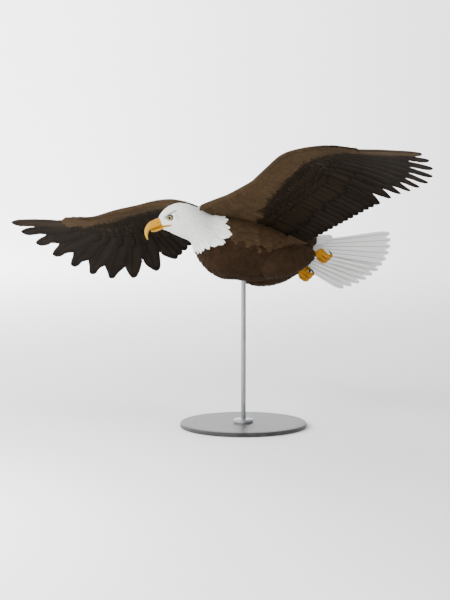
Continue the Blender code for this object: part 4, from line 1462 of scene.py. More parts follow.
    def vane_sides(self, k: int, shares: Array) -> tuple[Array, Array, Array]:
        """Shaft and vane widths of one flight feather.

        Args:
            k: The feather, counted from the body.
            shares: Places along it, 0 at the covert's edge and 1 at its tip.

        Returns:
            The shaft's flat points, and the widths of the inner and outer vanes there.
        """
        base, tip = self.bases[k], self.tips[k]
        heading = self.headings[k]
        left = np.array([-heading[1], heading[0]])  # towards the body on the flat layout
        length = np.linalg.norm(tip - base)
        fork, sides = [], []
        for b, sign in ((k, 1), (k + 1, -1)):
            start, notch = self.starts[b], self.notches[b]
            fork.append(float((notch - base) @ heading) / length)
            low, high = (start - base) @ left * sign, (notch - base) @ left * sign
            sides.append((low, high))
        long_finger = k >= self.secondaries + 3
        tip_start = 0.78 if long_finger else 0.74
        inner_half, outer_half = (0.0225, 0.0135) if long_finger else (0.0215, 0.0165)
        made = []
        for (low, high), at, half, lap in zip(sides, fork, (inner_half, outer_half), (0.013, 0.004)):
            joined = low + (high - low) * np.clip(shares / max(at, 0.2), 0, 1) + lap
            mix = ease(shares, at - (0.22 if long_finger else 0.55), at + 0.10)
            wide = joined * (1 - mix) + np.minimum(half, joined) * mix
            rounded = np.clip((shares - tip_start) / (1 - tip_start), 0, 1)
            power = 2.3 if half == inner_half else 1.9
            made.append(np.maximum(wide * (1 - rounded**power) ** 0.55, 0.0007))
        shift = 0.0040 * ease(shares, 0.1, 0.5) * (1 - ease(shares, 0.75, 1.0))
        shaft = base + heading * (shares * length)[:, None] - left * shift[:, None]
        return shaft, made[0], made[1]

    def flight_feather(self, k: int, draw: np.random.Generator) -> tuple[Array, dict, Array]:
        """One flight feather as a closed plate with a raised shaft.

        Args:
            k: The feather, counted from the body.
            draw: The run of random numbers for its wear.

        Returns:
            Points by row, side of the vane and place across; numbers by attribute; and places on the unwrap.
        """
        shares = np.concatenate([np.linspace(-0.34, 0.5, 16), np.linspace(0.55, 0.90, 14), np.linspace(0.92, 1, 7)])
        shaft, inner, outer = self.vane_sides(k, np.maximum(shares, 0))
        length = float(np.linalg.norm(self.tips[k] - self.bases[k]))
        shaft = shaft + self.headings[k] * (np.minimum(shares, 0) * length)[:, None]
        nick = nicks(draw, len(shares), 0.90, (0.04, 0.13))
        nick[:, shares < 0.1] = 1
        quill = 0.0021 * (1 - ease(shares, -0.2, 1.0) * 0.80)
        left = np.array([-self.headings[k][1], self.headings[k][0]])
        wide = vane_grid(inner * nick[0], outer * nick[1], quill)
        flat = shaft[:, None] - left * wide[..., None]
        tilt = 0.075 * wide  # each lies over its outer neighbour and under its inner one
        bow = -0.0016 * (wide / 0.03) ** 2
        curl = 0.004 * ease(shares, 0.35, 1.0)[:, None] * (k >= self.secondaries)
        height = tilt + bow - curl + draw.uniform(-0.0002, 0.0002)
        ridge, keel = quill[:, None] * RIDGE, quill[:, None] * keel_profile(0.95)
        top, under = height + VANE_HALF + ridge, height - VANE_HALF - keel
        points = np.stack([self.bend(flat, top), self.bend(flat, under)], axis=1)
        pale = 0.9 * self.band**2 if k == len(self.bases) - 1 else 0.0
        values = plate_numbers(draw.uniform(-1, 1), 1.0 - pale, np.maximum(shares, 0), shares * length, wide)
        return points, values, plate_unwrap(k % self.secondaries, self.secondaries, (shares + 0.34) / 1.34)

    def flight(self, label: str, first: int, last: int, finish: Material, seed: int) -> None:
        """Makes the flight feathers from first up to last one piece.

        Args:
            label: What they are called.
            first: The first, counted from the body.
            last: The one after the last.
            finish: The material.
            seed: Starts its run of random numbers.
        """
        draw = np.random.default_rng(seed)
        made = [self.flight_feather(k, draw) for k in range(first, last)]
        plates_piece(f"{label}_{self.name}", made, finish, "flight_feathers", f"wing_{self.name}_{label}")


def plates_piece(name: str, made: list[tuple], finish: Material, slot: str, *nodes: str) -> None:
    """Makes large feathers, each a closed plate, one piece.

    Args:
        name: The piece's name.
        made: Points, numbers and places on the unwrap of each feather.
        finish: Its material.
        slot: The record's material slot.
        nodes: CAD nodes that it stands for.
    """
    faces, start = [], 0
    for points, _, _ in made:
        rows, _, columns = points.shape[:3]
        numbers = np.arange(rows * 2 * columns).reshape(rows, 2, columns) + start
        ring = np.concatenate([numbers[:, 0], numbers[:, 1, ::-1]], axis=1)
        a, b = ring[:-1], np.roll(ring, -1, axis=1)[:-1]
        c, d = np.roll(ring, -1, axis=1)[1:], ring[1:]
        faces.append(np.stack([a, b, c, d], axis=-1).reshape(-1, 4))
        for row, order in ((ring[0], -1), (ring[-1], 1)):
            cap = np.stack([row[: columns - 1], row[1:columns], row[::-1][1:columns], row[::-1][: columns - 1]], 1)
            faces.append(cap[:, ::order])
        start += rows * 2 * columns
    values = {k: np.concatenate([m[1][k].ravel() for m in made]) for k in made[0][1]}
    points = np.concatenate([m[0].reshape(-1, 3) for m in made])
    uv = np.concatenate([m[2].reshape(-1, 2) for m in made])
    piece = make_object(name, points, [np.concatenate(faces)], finish, values=values, uv=uv, crease=55)
    place_piece(turned_out(piece), slot, *nodes)


BAND_UNDER = ((0, 3, 7, 11, 15, 20, 23, 24.5), (0.62, 0.50, 0.36, 0.30, 0.30, 0.40, 0.70, 1.60))
BAND_UPPER = ((0, 6, 15, 22, 24.5), (0.80, 0.80, 0.72, 0.80, 1.60))
WINGS = (
    Wing("left", 1, 13, -11.5, -3.5, 7, 12, 12, 4, (0.30, 0.60), (0.70, 1.0)),
    Wing("right", -1, 32, -8, -26, 1, -4, 29, 20, (0.06, 0.28), (0.38, 0.60), 0.62),
)


# ---- tail ----
@dataclass
class Tail:
    """Twelve tail feathers, fanned from one pivot, dished and twisted against the body."""

    count: int = 12
    spread: float = math.radians(21)
    pivot: float = 0.14
    start: float = 0.3004
    length: float = 0.452
    dish: float = 0.7
    down: float = math.radians(1.5)
    centre: float = 0.003

    def place(self, x: Array, y: Array, w: Array) -> Array:
        """Carries the flat fan to the bird's axes.

        Args:
            x: Places aside.
            y: Places backwards.
            w: Heights over the fan.

        Returns:
            Points.
        """
        flat = np.stack([x, np.zeros_like(x), w + self.dish * x * x - (y - self.start) * math.sin(self.down)], -1)
        turned = carried(flat, Matrix.Rotation(-TAIL_TWIST, 4, "Y"))
        return turned + np.stack([np.zeros_like(x), y, np.full_like(x, self.centre)], -1)

    def feather(self, k: int, draw: np.random.Generator) -> tuple[Array, dict, Array]:
        """One tail feather, as Wing.flight_feather makes a wing's.

        Args:
            k: Which one, from the right.
            draw: The run of random numbers.

        Returns:
            What Wing.flight_feather gives.
        """
        step = 2 * self.spread / (self.count - 1)
        angle = -self.spread + k * step
        length = self.length * (1 - 0.06 * (angle / self.spread) ** 2)
        near = self.start - self.pivot - 0.055
        shares = np.concatenate([np.linspace(0, 0.7, 16), np.linspace(0.74, 0.93, 9), np.linspace(0.945, 1, 8)])
        reach = near + (length - near) * shares
        half = np.sin(step / 2) * reach
        outer_sign = 1 if angle > 0 else -1
        rounded = np.clip((shares - 0.80) / 0.20, 0, 1)
        tip = np.maximum((1 - rounded**2.4) ** 0.55, 0.03)
        nick = nicks(draw, len(shares), 0.92, (0.03, 0.08))
        outer, inner = (half * 0.98 + 0.001) * tip * nick[0], (half * 1.05 + 0.005) * tip * nick[1]
        quill = 0.0020 * (1 - shares * 0.75)
        wide = vane_grid(inner, outer, quill)
        high = 0.085 * wide - 0.0018 * (wide / 0.025) ** 2
        lateral = wide * outer_sign
        ray = np.array([math.sin(angle), math.cos(angle)])
        aside = np.array([math.cos(angle), -math.sin(angle)])
        flat = ray * reach[:, None, None] + aside * lateral[..., None]
        x, y = flat[..., 0], flat[..., 1] + self.pivot
        ridge, keel = quill[:, None] * RIDGE, quill[:, None] * keel_profile(0.9)
        lift = (0.0022 if k == self.count // 2 else 0.0) + draw.uniform(-0.0002, 0.0002)
        top = self.place(x, y, high + 0.00035 + ridge + lift)
        under = self.place(x, y, high - 0.00035 - keel + lift)
        # Painted shade: each tail feather is darker, in lilac grey, towards its root.
        shade = 0.55 * (1 - ease(shares, 0.05, 0.45))[:, None, None]
        values = plate_numbers(draw.uniform(-1, 1), shade, shares, reach, wide)
        return np.stack([top, under], axis=1), values, plate_unwrap(k, self.count, shares)

    def build(self, finish: Material) -> None:
        """Makes the tail feathers one piece.

        Args:
            finish: The material.
        """
        draw = np.random.default_rng(41)
        made = [self.feather(k, draw) for k in range(self.count)]
        plates_piece("tail_feathers", made, finish, "white_feathers", "tail")


# ---- body coat ----
def ankle_at(side: int) -> Vector:
    """Where one ankle is, in the bird's axes."""
    return Matrix.Rotation(-FEET_ROLL, 3, "Y") @ Vector((side * FOOT_AT[0], *FOOT_AT[1:]))


@dataclass
class BodyCoat:
    """The feathers of the head, neck, trunk, tail coverts and thighs, and the one skin under everything."""

    shape: BodyShape = field(default_factory=BodyShape)
    hackles_start: float = 0.084
    hood: tuple = (  # share of the way round from below, and the hood's reach along the body there
        (0.0, 0.140), (0.06, 0.143), (0.125, 0.165), (0.19, 0.212), (0.25, 0.234), (0.375, 0.228), (0.5, 0.214)
    )

    thigh: tuple = (  # share of the way from hip to ankle, half width, half depth
        (-0.35, 0.018, 0.020), (-0.12, 0.038, 0.044), (0.20, 0.045, 0.056),
        (0.52, 0.042, 0.051), (0.82, 0.030, 0.035), (1.0, 0.016, 0.018),
    )

    def __post_init__(self) -> None:
        """Builds the body and thigh forms."""
        self.form = LoftForm(self.shape.rings(), self.shape.rows, self.shape.depths)
        self.shape.fair_neck(self.form)
        self.shape.sculpt_head(self.form)
        self.head = self.shape.head_matrix()
        self.inverse = self.head.inverted()
        self.y_at = self.form.grid[:, :, 1].mean(axis=1)
        self.thighs = {name: self.thigh_form(side) for name, side in SIDES}

    def reach_of(self, y: float) -> float:
        """The distance along the body at which its sections lie, on average, at this y."""
        return float(np.interp(y, self.y_at, self.form.at))

    def collar(self, turn: Array) -> Array:
        """How far along the body the white hood reaches at places round it: least under the throat."""
        from_below = np.abs((turn - 0.75 + 0.5) % 1.0 - 0.5)
        return np.interp(from_below, *np.array(self.hood).T)

    def thigh_form(self, side: int) -> LoftForm:
        """The form of one feathered thigh.

        Args:
            side: 1 for the bird's left, -1 for its right.

        Returns:
            The form.
        """
        hip = Vector((side * HIP_AT[0], *HIP_AT[1:]))
        run = hip.lerp(ankle_at(side), 0.86) - hip
        turn = Vector((0, 1, 0)).rotation_difference(run.normalized()).to_matrix().to_4x4()
        rings = []
        for share, width, depth in self.thigh:
            rings.append(carried(section(width, depth, depth, 48), turn) + np.array(hip + run * share))
        return LoftForm(np.array(rings), 90, ((0, 0.016), (0.05, 0.013), (0.11, 0.008), (0.22, 0.004)))

    def skin(self, finish: Material) -> None:
        """Makes the one skin that stands for all the flesh.

        Args:
            finish: The material.
        """
        body = closed_loft("skin", self.form.skin_rings()[::4, ::2], finish)
        others = [closed_loft(f"thigh_{n}_skin", f.skin_rings()[::3, ::2], finish) for n, f in self.thighs.items()]
        others += [wing.arm_skin(finish) for wing in WINGS]
        skin = combined(body, others)
        points = np.zeros(len(skin.data.vertices) * 3, np.float32)
        skin.data.vertices.foreach_get("co", points)
        points = carried(points.reshape(-1, 3).astype(float), BIRD.inverted())
        x, y, z = points.T
        rows, outward = (grid[::4, ::4].reshape(-1, 3) for grid in (self.form.grid, self.form.normal))
        reach, turn = np.meshgrid(self.form.at[::4], np.arange(0, 144, 4) / 144, indexing="ij")
        hooded = (reach < self.collar(turn) - 0.020).ravel()
        tree = KDTree(len(rows))
        for number, row in enumerate(rows):
            tree.insert(row, number)
        tree.balance()
        nearest = np.array([tree.find(point)[1] for point in points])
        beyond = ((points - rows[nearest]) * outward[nearest]).sum(1)
        white = hooded[nearest] & (beyond < 0.001)
        white |= (np.hypot(x, z - 0.01) < 0.092) & (y > COVERTS_START - 0.01)
        local = carried(points, self.inverse)
        aside, forward, up = np.abs(local[:, 0]), -local[:, 1], local[:, 2]
        _, eye_y, eye_z = self.shape.eye_at
        ring = np.hypot(forward - eye_y, up - eye_z)
        lore = np.exp(-(((forward - 0.021) / 0.008) ** 2) - ((up - 0.0045) / 0.006) ** 2)
        # bare skin round the eyes and on the lores, whose dark grey is partly painted shade
        bare = np.clip(np.maximum(1 - ease(ring, 0.0085, 0.012), lore) * (aside > 0.008), 0, 1)
        set_numbers(skin.data, "white", white)
        set_numbers(skin.data, "bare", bare)
        nodes = ["head", "neck", "trunk", "tail_coverts", "thigh_left", "thigh_right"]
        nodes += [f"wing_{s}_{p}" for s in ("left", "right") for p in ("shoulder", "forearm", "hand")]
        place_piece(skin, "brown_feathers", *nodes)

    def face_shade(self, local: Array) -> Array:
        """Darkness of the face's feathers, from places in the head's axes: a painted shadow under the brow over
        the eye, and darker patches before and behind the eye.

        Args:
            local: Places in the head's axes.

        Returns:
            Darkness, 0 pale to 1 dark.
        """
        _, eye_y, eye_z = self.shape.eye_at
        forward, up = -local[:, 1] - eye_y, local[:, 2] - eye_z
        line = 0.0118 - 0.24 * forward - 6.0 * forward**2
        # painted shadow of the brow ridge, in a line over the eye
        brow = np.exp(-(((up - line) / 0.0021) ** 2)) * ease(forward, -0.022, -0.012) * ease(forward, 0.026, 0.018)
        lore = 0.75 * np.exp(-(((forward - 0.0135) / 0.0055) ** 2) - ((up - 0.001) / 0.0050) ** 2)
        behind = 0.35 * np.exp(-(((forward + 0.013) / 0.004) ** 2) - ((up + 0.001) / 0.006) ** 2)
        return np.clip(np.maximum(np.maximum(brow, lore), behind), 0, 0.9)

    def face(self, finish: Material) -> None:
        """Lays the tiny feathers of the face and crown, clear of the eyes and the bill.

        Args:
            finish: The material.
        """
        bed = FeatherBed(11)
        nape = self.hackles_start + 0.008
        at, turn, grown = [], [], 0.0002
        while grown < nape:
            spacing = float(np.interp(grown, (0, 0.02, 0.06, 0.10), (0.0022, 0.0030, 0.0042, 0.0055)))
            a, t = self.form.rows_between(grown, grown + spacing * 0.9, spacing, spacing, bed.draw)
            at.append(a)
            turn.append(t + bed.draw.uniform(0, 0.02))
            grown += spacing
        at, turn = np.concatenate(at), np.concatenate(turn)
        local = carried(self.form.read(self.form.grid, at, turn), self.inverse)
        _, eye_y, eye_z = self.shape.eye_at
        aside, forward, up = np.abs(local[:, 0]), -local[:, 1], local[:, 2]
        ring = np.hypot(forward - eye_y, up - eye_z)
        kept = (ring > 0.0096 + 0.0026 * (forward - eye_y) / np.maximum(ring, 1e-6)) | (aside < 0.012)
        gape = (up < -0.0105) & (up > -0.0200) & (forward > 0.006)
        kept &= ~gape | (aside < 0.010)
        at, turn = at[kept], turn[kept]
        length = np.interp(at, (0, 0.02, 0.05, 0.10), (0.0052, 0.0076, 0.0130, 0.0200))
        length = length * bed.draw.uniform(0.85, 1.15, len(at))
        self.form.lay(
            bed, at, turn, length, length * 0.52, self.face_shade(local[kept]) + bed.draw.uniform(0, 0.05, len(at)),
            Outline.TINY, lift=0.0003, thick=0.0006, stray=0.12,
        )
        bed.piece("face_feathers", finish, "white_feathers")

    def hackles(self, finish: Material) -> None:
        """Lays the long feathers of the neck, the last of them in lobes over the brown.

        Args:
            finish: The material.
        """
        bed = FeatherBed(12)
        start, end = self.hackles_start, max(reach for _, reach in self.hood) - 0.040
        along, turn = self.form.rows_between(start, end, 0.0066, 0.0076, bed.draw)
        kept = along < self.collar(turn) - 0.042
        along, turn = along[kept], turn[kept]
        grown = np.clip((along - start) / (self.collar(turn) - 0.040 - start), 0, 1)
        length = (0.020 + 0.022 * grown) * bed.draw.uniform(0.85, 1.15, len(along))
        self.form.lay(
            bed, along, turn, length, 0.0085 + 0.0045 * grown, bed.draw.uniform(0, 0.07, len(along)),
            Outline.LOBE, lift=0.0010, stray=0.08,
        )
        for back, count, size, wide in ((0.046, 27, 0.040, 0.018), (0.040, 22, 0.044, 0.023)):
            turn = (np.arange(count) + bed.draw.uniform(-0.14, 0.14, count)) / count
            length = size * bed.draw.uniform(0.90, 1.12, count)
            for offset, share in ((-0.30, 0.84), (0.28, 0.80), (0.0, 1.0)):
                around = turn + offset * 0.5 / count
                self.form.lay(
                    bed, self.collar(turn) - back, around, length * share,
                    np.full(count, wide * (0.66 if offset else 0.9)), bed.draw.uniform(0, 0.07, count),
                    Outline.LOBE, lift=0.0036 if not offset else 0.0028, stray=0.03,
                )
        bed.piece("neck_hackles", finish, "white_feathers")

    def trunk(self, finish: Material) -> None:
        """Lays the brown feathers of the breast, belly, back and rump.

        Args:
            finish: The material.
        """
        bed = FeatherBed(13)
        start, end = 0.105, self.reach_of(COVERTS_START - 0.026)
        along, turn = self.form.rows_between(start, end, 0.0135, 0.0150, bed.draw)
        kept = along > self.collar(turn) - 0.030
        along, turn = along[kept], turn[kept]
        grown = (along - start) / (end - start)
        length = np.interp(grown, (0, 0.3, 1), (0.028, 0.038, 0.044)) * bed.draw.uniform(0.88, 1.12, len(along))
        # Painted shade: the lower side of the body, up to a jagged line, is made dark; the back is a little darker
        # too.
        under = 0.5 - 0.5 * np.sin(2 * np.pi * turn)
        jagged = 0.05 * np.sin(along * 160) + bed.draw.uniform(-0.04, 0.04, len(along))
        shade = np.clip(0.06 + 0.88 * ease(under + jagged, 0.54, 0.62) + 0.2 * ease(under, 0.4, 0.0), 0, 1)
        self.form.lay(bed, along, turn, length, length * 0.62, shade, lift=0.0009)
        bed.piece("body_feathers", finish, "brown_feathers")

    def tail_coverts(self, finish: Material) -> None:
        """Lays the long white feathers over and under the root of the tail.

        Args:
            finish: The material.
        """
        bed = FeatherBed(14)
        start, end = self.reach_of(COVERTS_START - 0.004), self.form.length - 0.010
        along, turn = self.form.rows_between(start, end, 0.0150, 0.0170, bed.draw)
        length = 0.062 * bed.draw.uniform(0.85, 1.15, len(along))
        self.form.lay(
            bed, along, turn, length, length * 0.42, bed.draw.uniform(0.1, 0.6, len(along)),
            Outline.STRAP, lift=0.0008, stray=0.08,
        )
        bed.piece("tail_covert_feathers", finish, "white_feathers")

    def thigh_feathers(self, finish: Material) -> None:
        """Lays the shaggy feathers of both thighs.

        Args:
            finish: The material.
        """
        bed = FeatherBed(15)
        for form in self.thighs.values():
            along, turn = form.rows_between(0.006, form.length - 0.012, 0.0105, 0.0112, bed.draw)
            length = np.interp(along / form.length, (0, 1), (0.036, 0.022)) * bed.draw.uniform(0.85, 1.15, len(along))
            # Painted shade: the thighs are made as dark as the lower body.
            form.lay(
                bed, along, turn, length, length * 0.52, np.full(len(along), 0.80),
                Outline.ROUND, lift=0.0010, stray=0.14,
            )
        bed.piece("thigh_feathers", finish, "brown_feathers")

    def build(self) -> None:
        """Makes the skin and every tract of the body."""
        self.skin(SKIN.material())
        white, brown, tail = WHITE_HEAD.material(), BROWN_BODY.material(), WHITE_TAIL.material()
        self.face(white)
        self.hackles(white)
        self.trunk(brown)
        self.tail_coverts(tail)
        self.thigh_feathers(brown)


# ---- head ----
@dataclass
class Bill:
    """The hooked bill: upper and lower mandible, the waxy cere with its nostrils, and the gape."""

    place: Matrix
    upper: tuple = (  # forward, top, under, half width
        (0.0290, 0.0144, -0.0104, 0.0170),
        (0.0314, 0.0148, -0.0105, 0.0168),
        (0.0420, 0.0154, -0.0110, 0.0158),
        (0.0525, 0.0150, -0.0115, 0.0142),
    )
    hook_centre: tuple[float, float] = (0.0525, -0.0240)
    hook_radius: float = 0.0390
    hook_sweep: float = math.radians(114)
    cere_ends: float = 0.0470
    lower: tuple = (
        (0.0290, -0.0117, -0.0218, 0.0150),
        (0.0440, -0.0122, -0.0230, 0.0135),
        (0.0570, -0.0127, -0.0224, 0.0105),
        (0.0680, -0.0140, -0.0190, 0.0060),
    )
    columns: int = 40

    def ring(self, top: tuple, under: tuple, half: float) -> Array:
        """A section between its top and under points, wider below than above.

        Args:
            top: Its top, forward and up.
            under: Its lowest point, forward and up.
            half: Half its width.

        Returns:
            Points round it.
        """
        angle = circle(self.columns)
        c, s = np.cos(angle), np.sin(angle)
        top, under = (np.array([0, -forward, up]) for forward, up in (top, under))
        middle, rise = (top + under) / 2, (top - under) / 2
        width = half * (0.86 - 0.20 * s)
        ring = middle + rise * (np.sign(s) * np.abs(s))[:, None]
        ring[:, 0] += width * c
        return ring

    def upper_rings(self) -> Array:
        """Fine rings of the upper mandible from behind the face to the tip of the hook.

        Returns:
            Points by ring and place round it.
        """
        rings = [self.ring((f, t), (f, u), h) for f, t, u, h in self.upper]
        mouth, half_width = self.upper[-1][2], self.upper[-1][3]
        centre = np.array(self.hook_centre)
        for k in range(1, 9):
            t = k / 8
            crest_at, inner_at = self.hook_sweep * t, self.hook_sweep * min(1.0, t * 1.02)
            crest = centre + self.hook_radius * np.array([math.sin(crest_at), math.cos(crest_at)])
            depth = (self.hook_radius - 0.0135) * (1 - t) ** 0.85 + 0.0016
            hollow = centre + (self.hook_radius - depth) * np.array([math.sin(inner_at), math.cos(inner_at)])
            if t < 0.5:
                hollow[1] = min(hollow[1], mouth)
            width = half_width * (1 - t) ** 0.8 + 0.0010
            rings.append(self.ring(crest, hollow, width))
        rings = np.array(rings)
        knots = np.arange(len(rings), dtype=float)
        return smooth_along(knots, rings, np.linspace(0, knots[-1], 111))

    def piece(
        self, name: str, rings: Array, finish: Material,
        along: Array, crease: Array, slot: str, node: str,
    ) -> None:
        """Makes one piece of the bill.

        Args:
            name: The piece's name.
            rings: Its rings.
            finish: Its material.
            along: Share of the bill's length at each ring.
            crease: How deep in a crease each point lies, 0 to 1, where the finish paints shade.
            slot: The record's material slot.
            node: The CAD node that it stands for.
        """
        values = {"along": np.repeat(along, self.columns), "crease": crease.ravel()}
        place_piece(closed_loft(name, rings, finish, BIRD @ self.place, values=values), slot, node)

    def nostril(self, points: Array) -> Array:
        """How far each point of the cere lies inside a nostril, 0 to 1.

        Args:
            points: Points in the head's axes.

        Returns:
            Shares, one for each point.
        """
        forward, up = -points[..., 1], points[..., 2]
        along = ((forward - 0.0405) + 0.5 * (up - 0.0040)) / 0.0030
        aside = ((up - 0.0040) - 0.5 * (forward - 0.0405)) / 0.0014
        return np.exp(-(along**2) - aside**2) * (np.abs(points[..., 0]) > 0.004)

    def build(self) -> None:
        """Makes the three pieces of the bill."""
        rings = self.upper_rings()
        forward = -rings[:, :, 1].mean(axis=1)
        seam = int(np.argmax(forward > self.cere_ends))
        cere = rings[: seam + 1].copy()
        middle = cere.mean(axis=1, keepdims=True)
        swell = 0.0007 * (1 - ease(np.arange(seam + 1), seam - 5, seam))[:, None, None]
        cere += unit(cere - middle) * swell
        hole = self.nostril(cere)
        cere[..., 0] -= np.sign(cere[..., 0]) * 0.0022 * hole
        grown = np.linspace(0, 0.4, seam + 1)
        # The nostrils are painted dark as shade.
        self.piece("waxy_cere", cere, CERE.material(), grown, np.clip(hole * 1.5, 0, 1), "cere", "cere")
        horn = BILL.material()
        hook = rings[seam:]
        share = np.linspace(0.2, 1.0, len(hook))
        ring_angle = np.arange(self.columns) / self.columns
        # Painted shade along the line of the mouth, under the upper mandible's edge.
        mouth = np.exp(-(((ring_angle - 0.75) / 0.07) ** 2))[None] * (share < 0.6)[:, None]
        self.piece("upper_mandible", hook, horn, share, mouth * 0.5, "bill", "bill_upper")
        low = np.array([self.ring((f, t), (f, u), h) for f, t, u, h in self.lower])
        low = smooth_along(np.arange(4.0), low, np.linspace(0, 3, 40))
        share = np.linspace(0.1, 0.8, len(low))
        self.piece("lower_mandible", low, horn, share, np.zeros(low.shape[:2]), "bill", "bill_lower")


@dataclass
class EyesAndGape:
    """The eyes with their lids, and the yellow skin at the corners of the mouth."""

    coat: BodyCoat
    gaze_forward: float = 0.42
    gaze_down: float = 0.06
    lid_thick: float = 0.0011

    def __post_init__(self) -> None:
        """Keeps the head's place and the eye's sizes."""
        self.place = BIRD @ self.coat.head
        self.radius = self.coat.shape.eye_radius

    def axes(self, side: int) -> tuple[Array, Array]:
        """The eye's centre, and its gaze, forward and up directions as rows.

        Args:
            side: 1 for the bird's left, -1 for its right.

        Returns:
            The centre and the three directions.
        """
        aside, forward, up = self.coat.shape.eye_at
        gaze = unit(np.array([side * 1.0, -self.gaze_forward, -self.gaze_down]))
        rise = unit(np.array([0, 0, 1.0]) - gaze * gaze[2])
        ahead = np.cross(gaze, rise)
        ahead = ahead if ahead[1] < 0 else -ahead
        return np.array([side * aside, -forward, up]), np.stack([gaze, ahead, rise])

    def eye(self, name: str, side: int, finish: Material) -> None:
        """Makes one eyeball, with its cornea a little raised.

        Args:
            name: The name.
            side: 1 for the bird's left, -1 for its right.
            finish: The material.
        """
        centre, (gaze, ahead, rise) = self.axes(side)
        polar = np.radians(np.concatenate([[1.0], np.linspace(4, 60, 29), np.linspace(68, 178, 14)]))
        turn = circle(40)
        radius = self.radius + 0.0004 * np.exp(-((np.degrees(polar) / 30) ** 2))
        radial = ahead[None] * np.cos(turn)[:, None] + rise[None] * np.sin(turn)[:, None]
        rings = centre + radius[:, None, None] * (
            np.cos(polar)[:, None, None] * gaze + np.sin(polar)[:, None, None] * radial[None]
        )
        values = {"polar": np.repeat(np.degrees(polar), 40)}
        piece = closed_loft(f"eyeball_{name}", rings, finish, self.place, values=values, crease=80)
        place_piece(piece, "eye", f"eye_{name}")

    def lids(self, finish: Material) -> None:
        """Makes the lids of both eyes: closed rims round an almond opening.

        Args:
            finish: The material.
        """
        parts, values, faces, start = [], {"along": [], "crease": []}, [], 0
        turn = circle(48)
        for side in (1, -1):
            centre, (gaze, ahead, rise) = self.axes(side)
            c, s = np.cos(turn), np.sin(turn)
            opening = 40 + 6.0 * np.abs(c) ** 1.5 - np.where(s > 0, 9.0 * s, 2.0 * -s)
            inner, outer = self.radius + 0.0002, self.radius + self.lid_thick
            profile = [(100, inner), (opening + 8, inner), (opening + 0.5, inner), (opening, (inner + outer) / 2),
                       (opening + 2, outer), (opening + 10, outer + 0.0003), (opening + 24, outer), (100, outer)]
            radial = ahead[None] * c[:, None] + rise[None] * s[:, None]
            rings = []
            for angle, radius in profile:
                a = np.radians(np.broadcast_to(angle, turn.shape))[:, None]
                rings.append(centre + radius * (np.cos(a) * gaze + np.sin(a) * radial))
            rings = np.array(rings)
            count = len(profile)
            parts.append(rings.reshape(-1, 3))
            faces.append(grid_faces(count + 1, 48) % (count * 48) + start)
            # Painted shade on the lid's inner rim, round the opening.
            dark = np.array([0, 0.6, 1.0, 1.0, 0.75, 0.1, 0, 0])
            values["crease"].append(np.repeat(dark, 48))
            values["along"].append(np.zeros(count * 48))
            start += count * 48
        values = {k: np.concatenate(v) for k, v in values.items()}
        piece = make_object("eyelids", np.concatenate(parts), [np.concatenate(faces)], finish, self.place, values)
        place_piece(turned_out(piece), "scaly_skin")

    def gape(self, finish: Material) -> None:
        """Makes the yellow skin that runs from the bill's corners back below the eyes.

        Args:
            finish: The material.
        """
        form = self.coat.form
        local = carried(form.grid, self.coat.inverse)
        parts, creases = [], []
        turn = circle(12)
        for side in (1, -1):
            rings, crease = [], []
            for share in np.linspace(0, 1, 22):
                forward = 0.0345 - 0.0300 * share
                up = -0.0118 - 0.0040 * share - 0.0022 * share**3
                gap = np.abs(-local[..., 1] - forward) + np.abs(local[..., 2] - up) + 10 * (local[..., 0] * side < 0)
                if forward > 0.0312:
                    x = 0.0150
                else:
                    row, column = np.unravel_index(int(np.argmin(gap)), gap.shape)
                    x = abs(local[row, column, 0]) - 0.0006
                tall = 0.0040 * (1 - share) ** 0.6 + 0.0008
                deep = 0.0020 * (1 - share) + 0.0009
                aside = side * (x + deep * np.cos(turn))
                rings.append(np.stack([aside, np.full(12, -forward), up + tall * np.sin(turn)], axis=1))
                # Painted shade along the fold at the corner of the mouth.
                crease.append(np.exp(-((np.sin(turn) / 0.22) ** 2)) * (np.cos(turn) > 0) * 0.9)
            rings = np.array(rings)
            parts.append(rings.reshape(-1, 3))
            creases.append(np.array(crease).ravel())
        values = {"along": np.zeros(2 * 22 * 12), "crease": np.concatenate(creases)}
        faces = loft_faces(22, 12, 2)
        piece = make_object("gape_skin", np.concatenate(parts), faces, finish, self.place, values)
        place_piece(turned_out(piece), "cere")

    def build(self) -> None:
        """Makes the eyes, the lids and the gape."""
        finish = EYE.material()
        for name, side in SIDES:
            self.eye(name, side, finish)
        self.lids(HornFinish("lid_skin", "#3B352D", "#3B352D", "#0B0908", roughness=0.55).material())
        self.gape(HornFinish("gape_wax", "#9E6E00", "#9A6A00", "#402604", roughness=0.48).material())


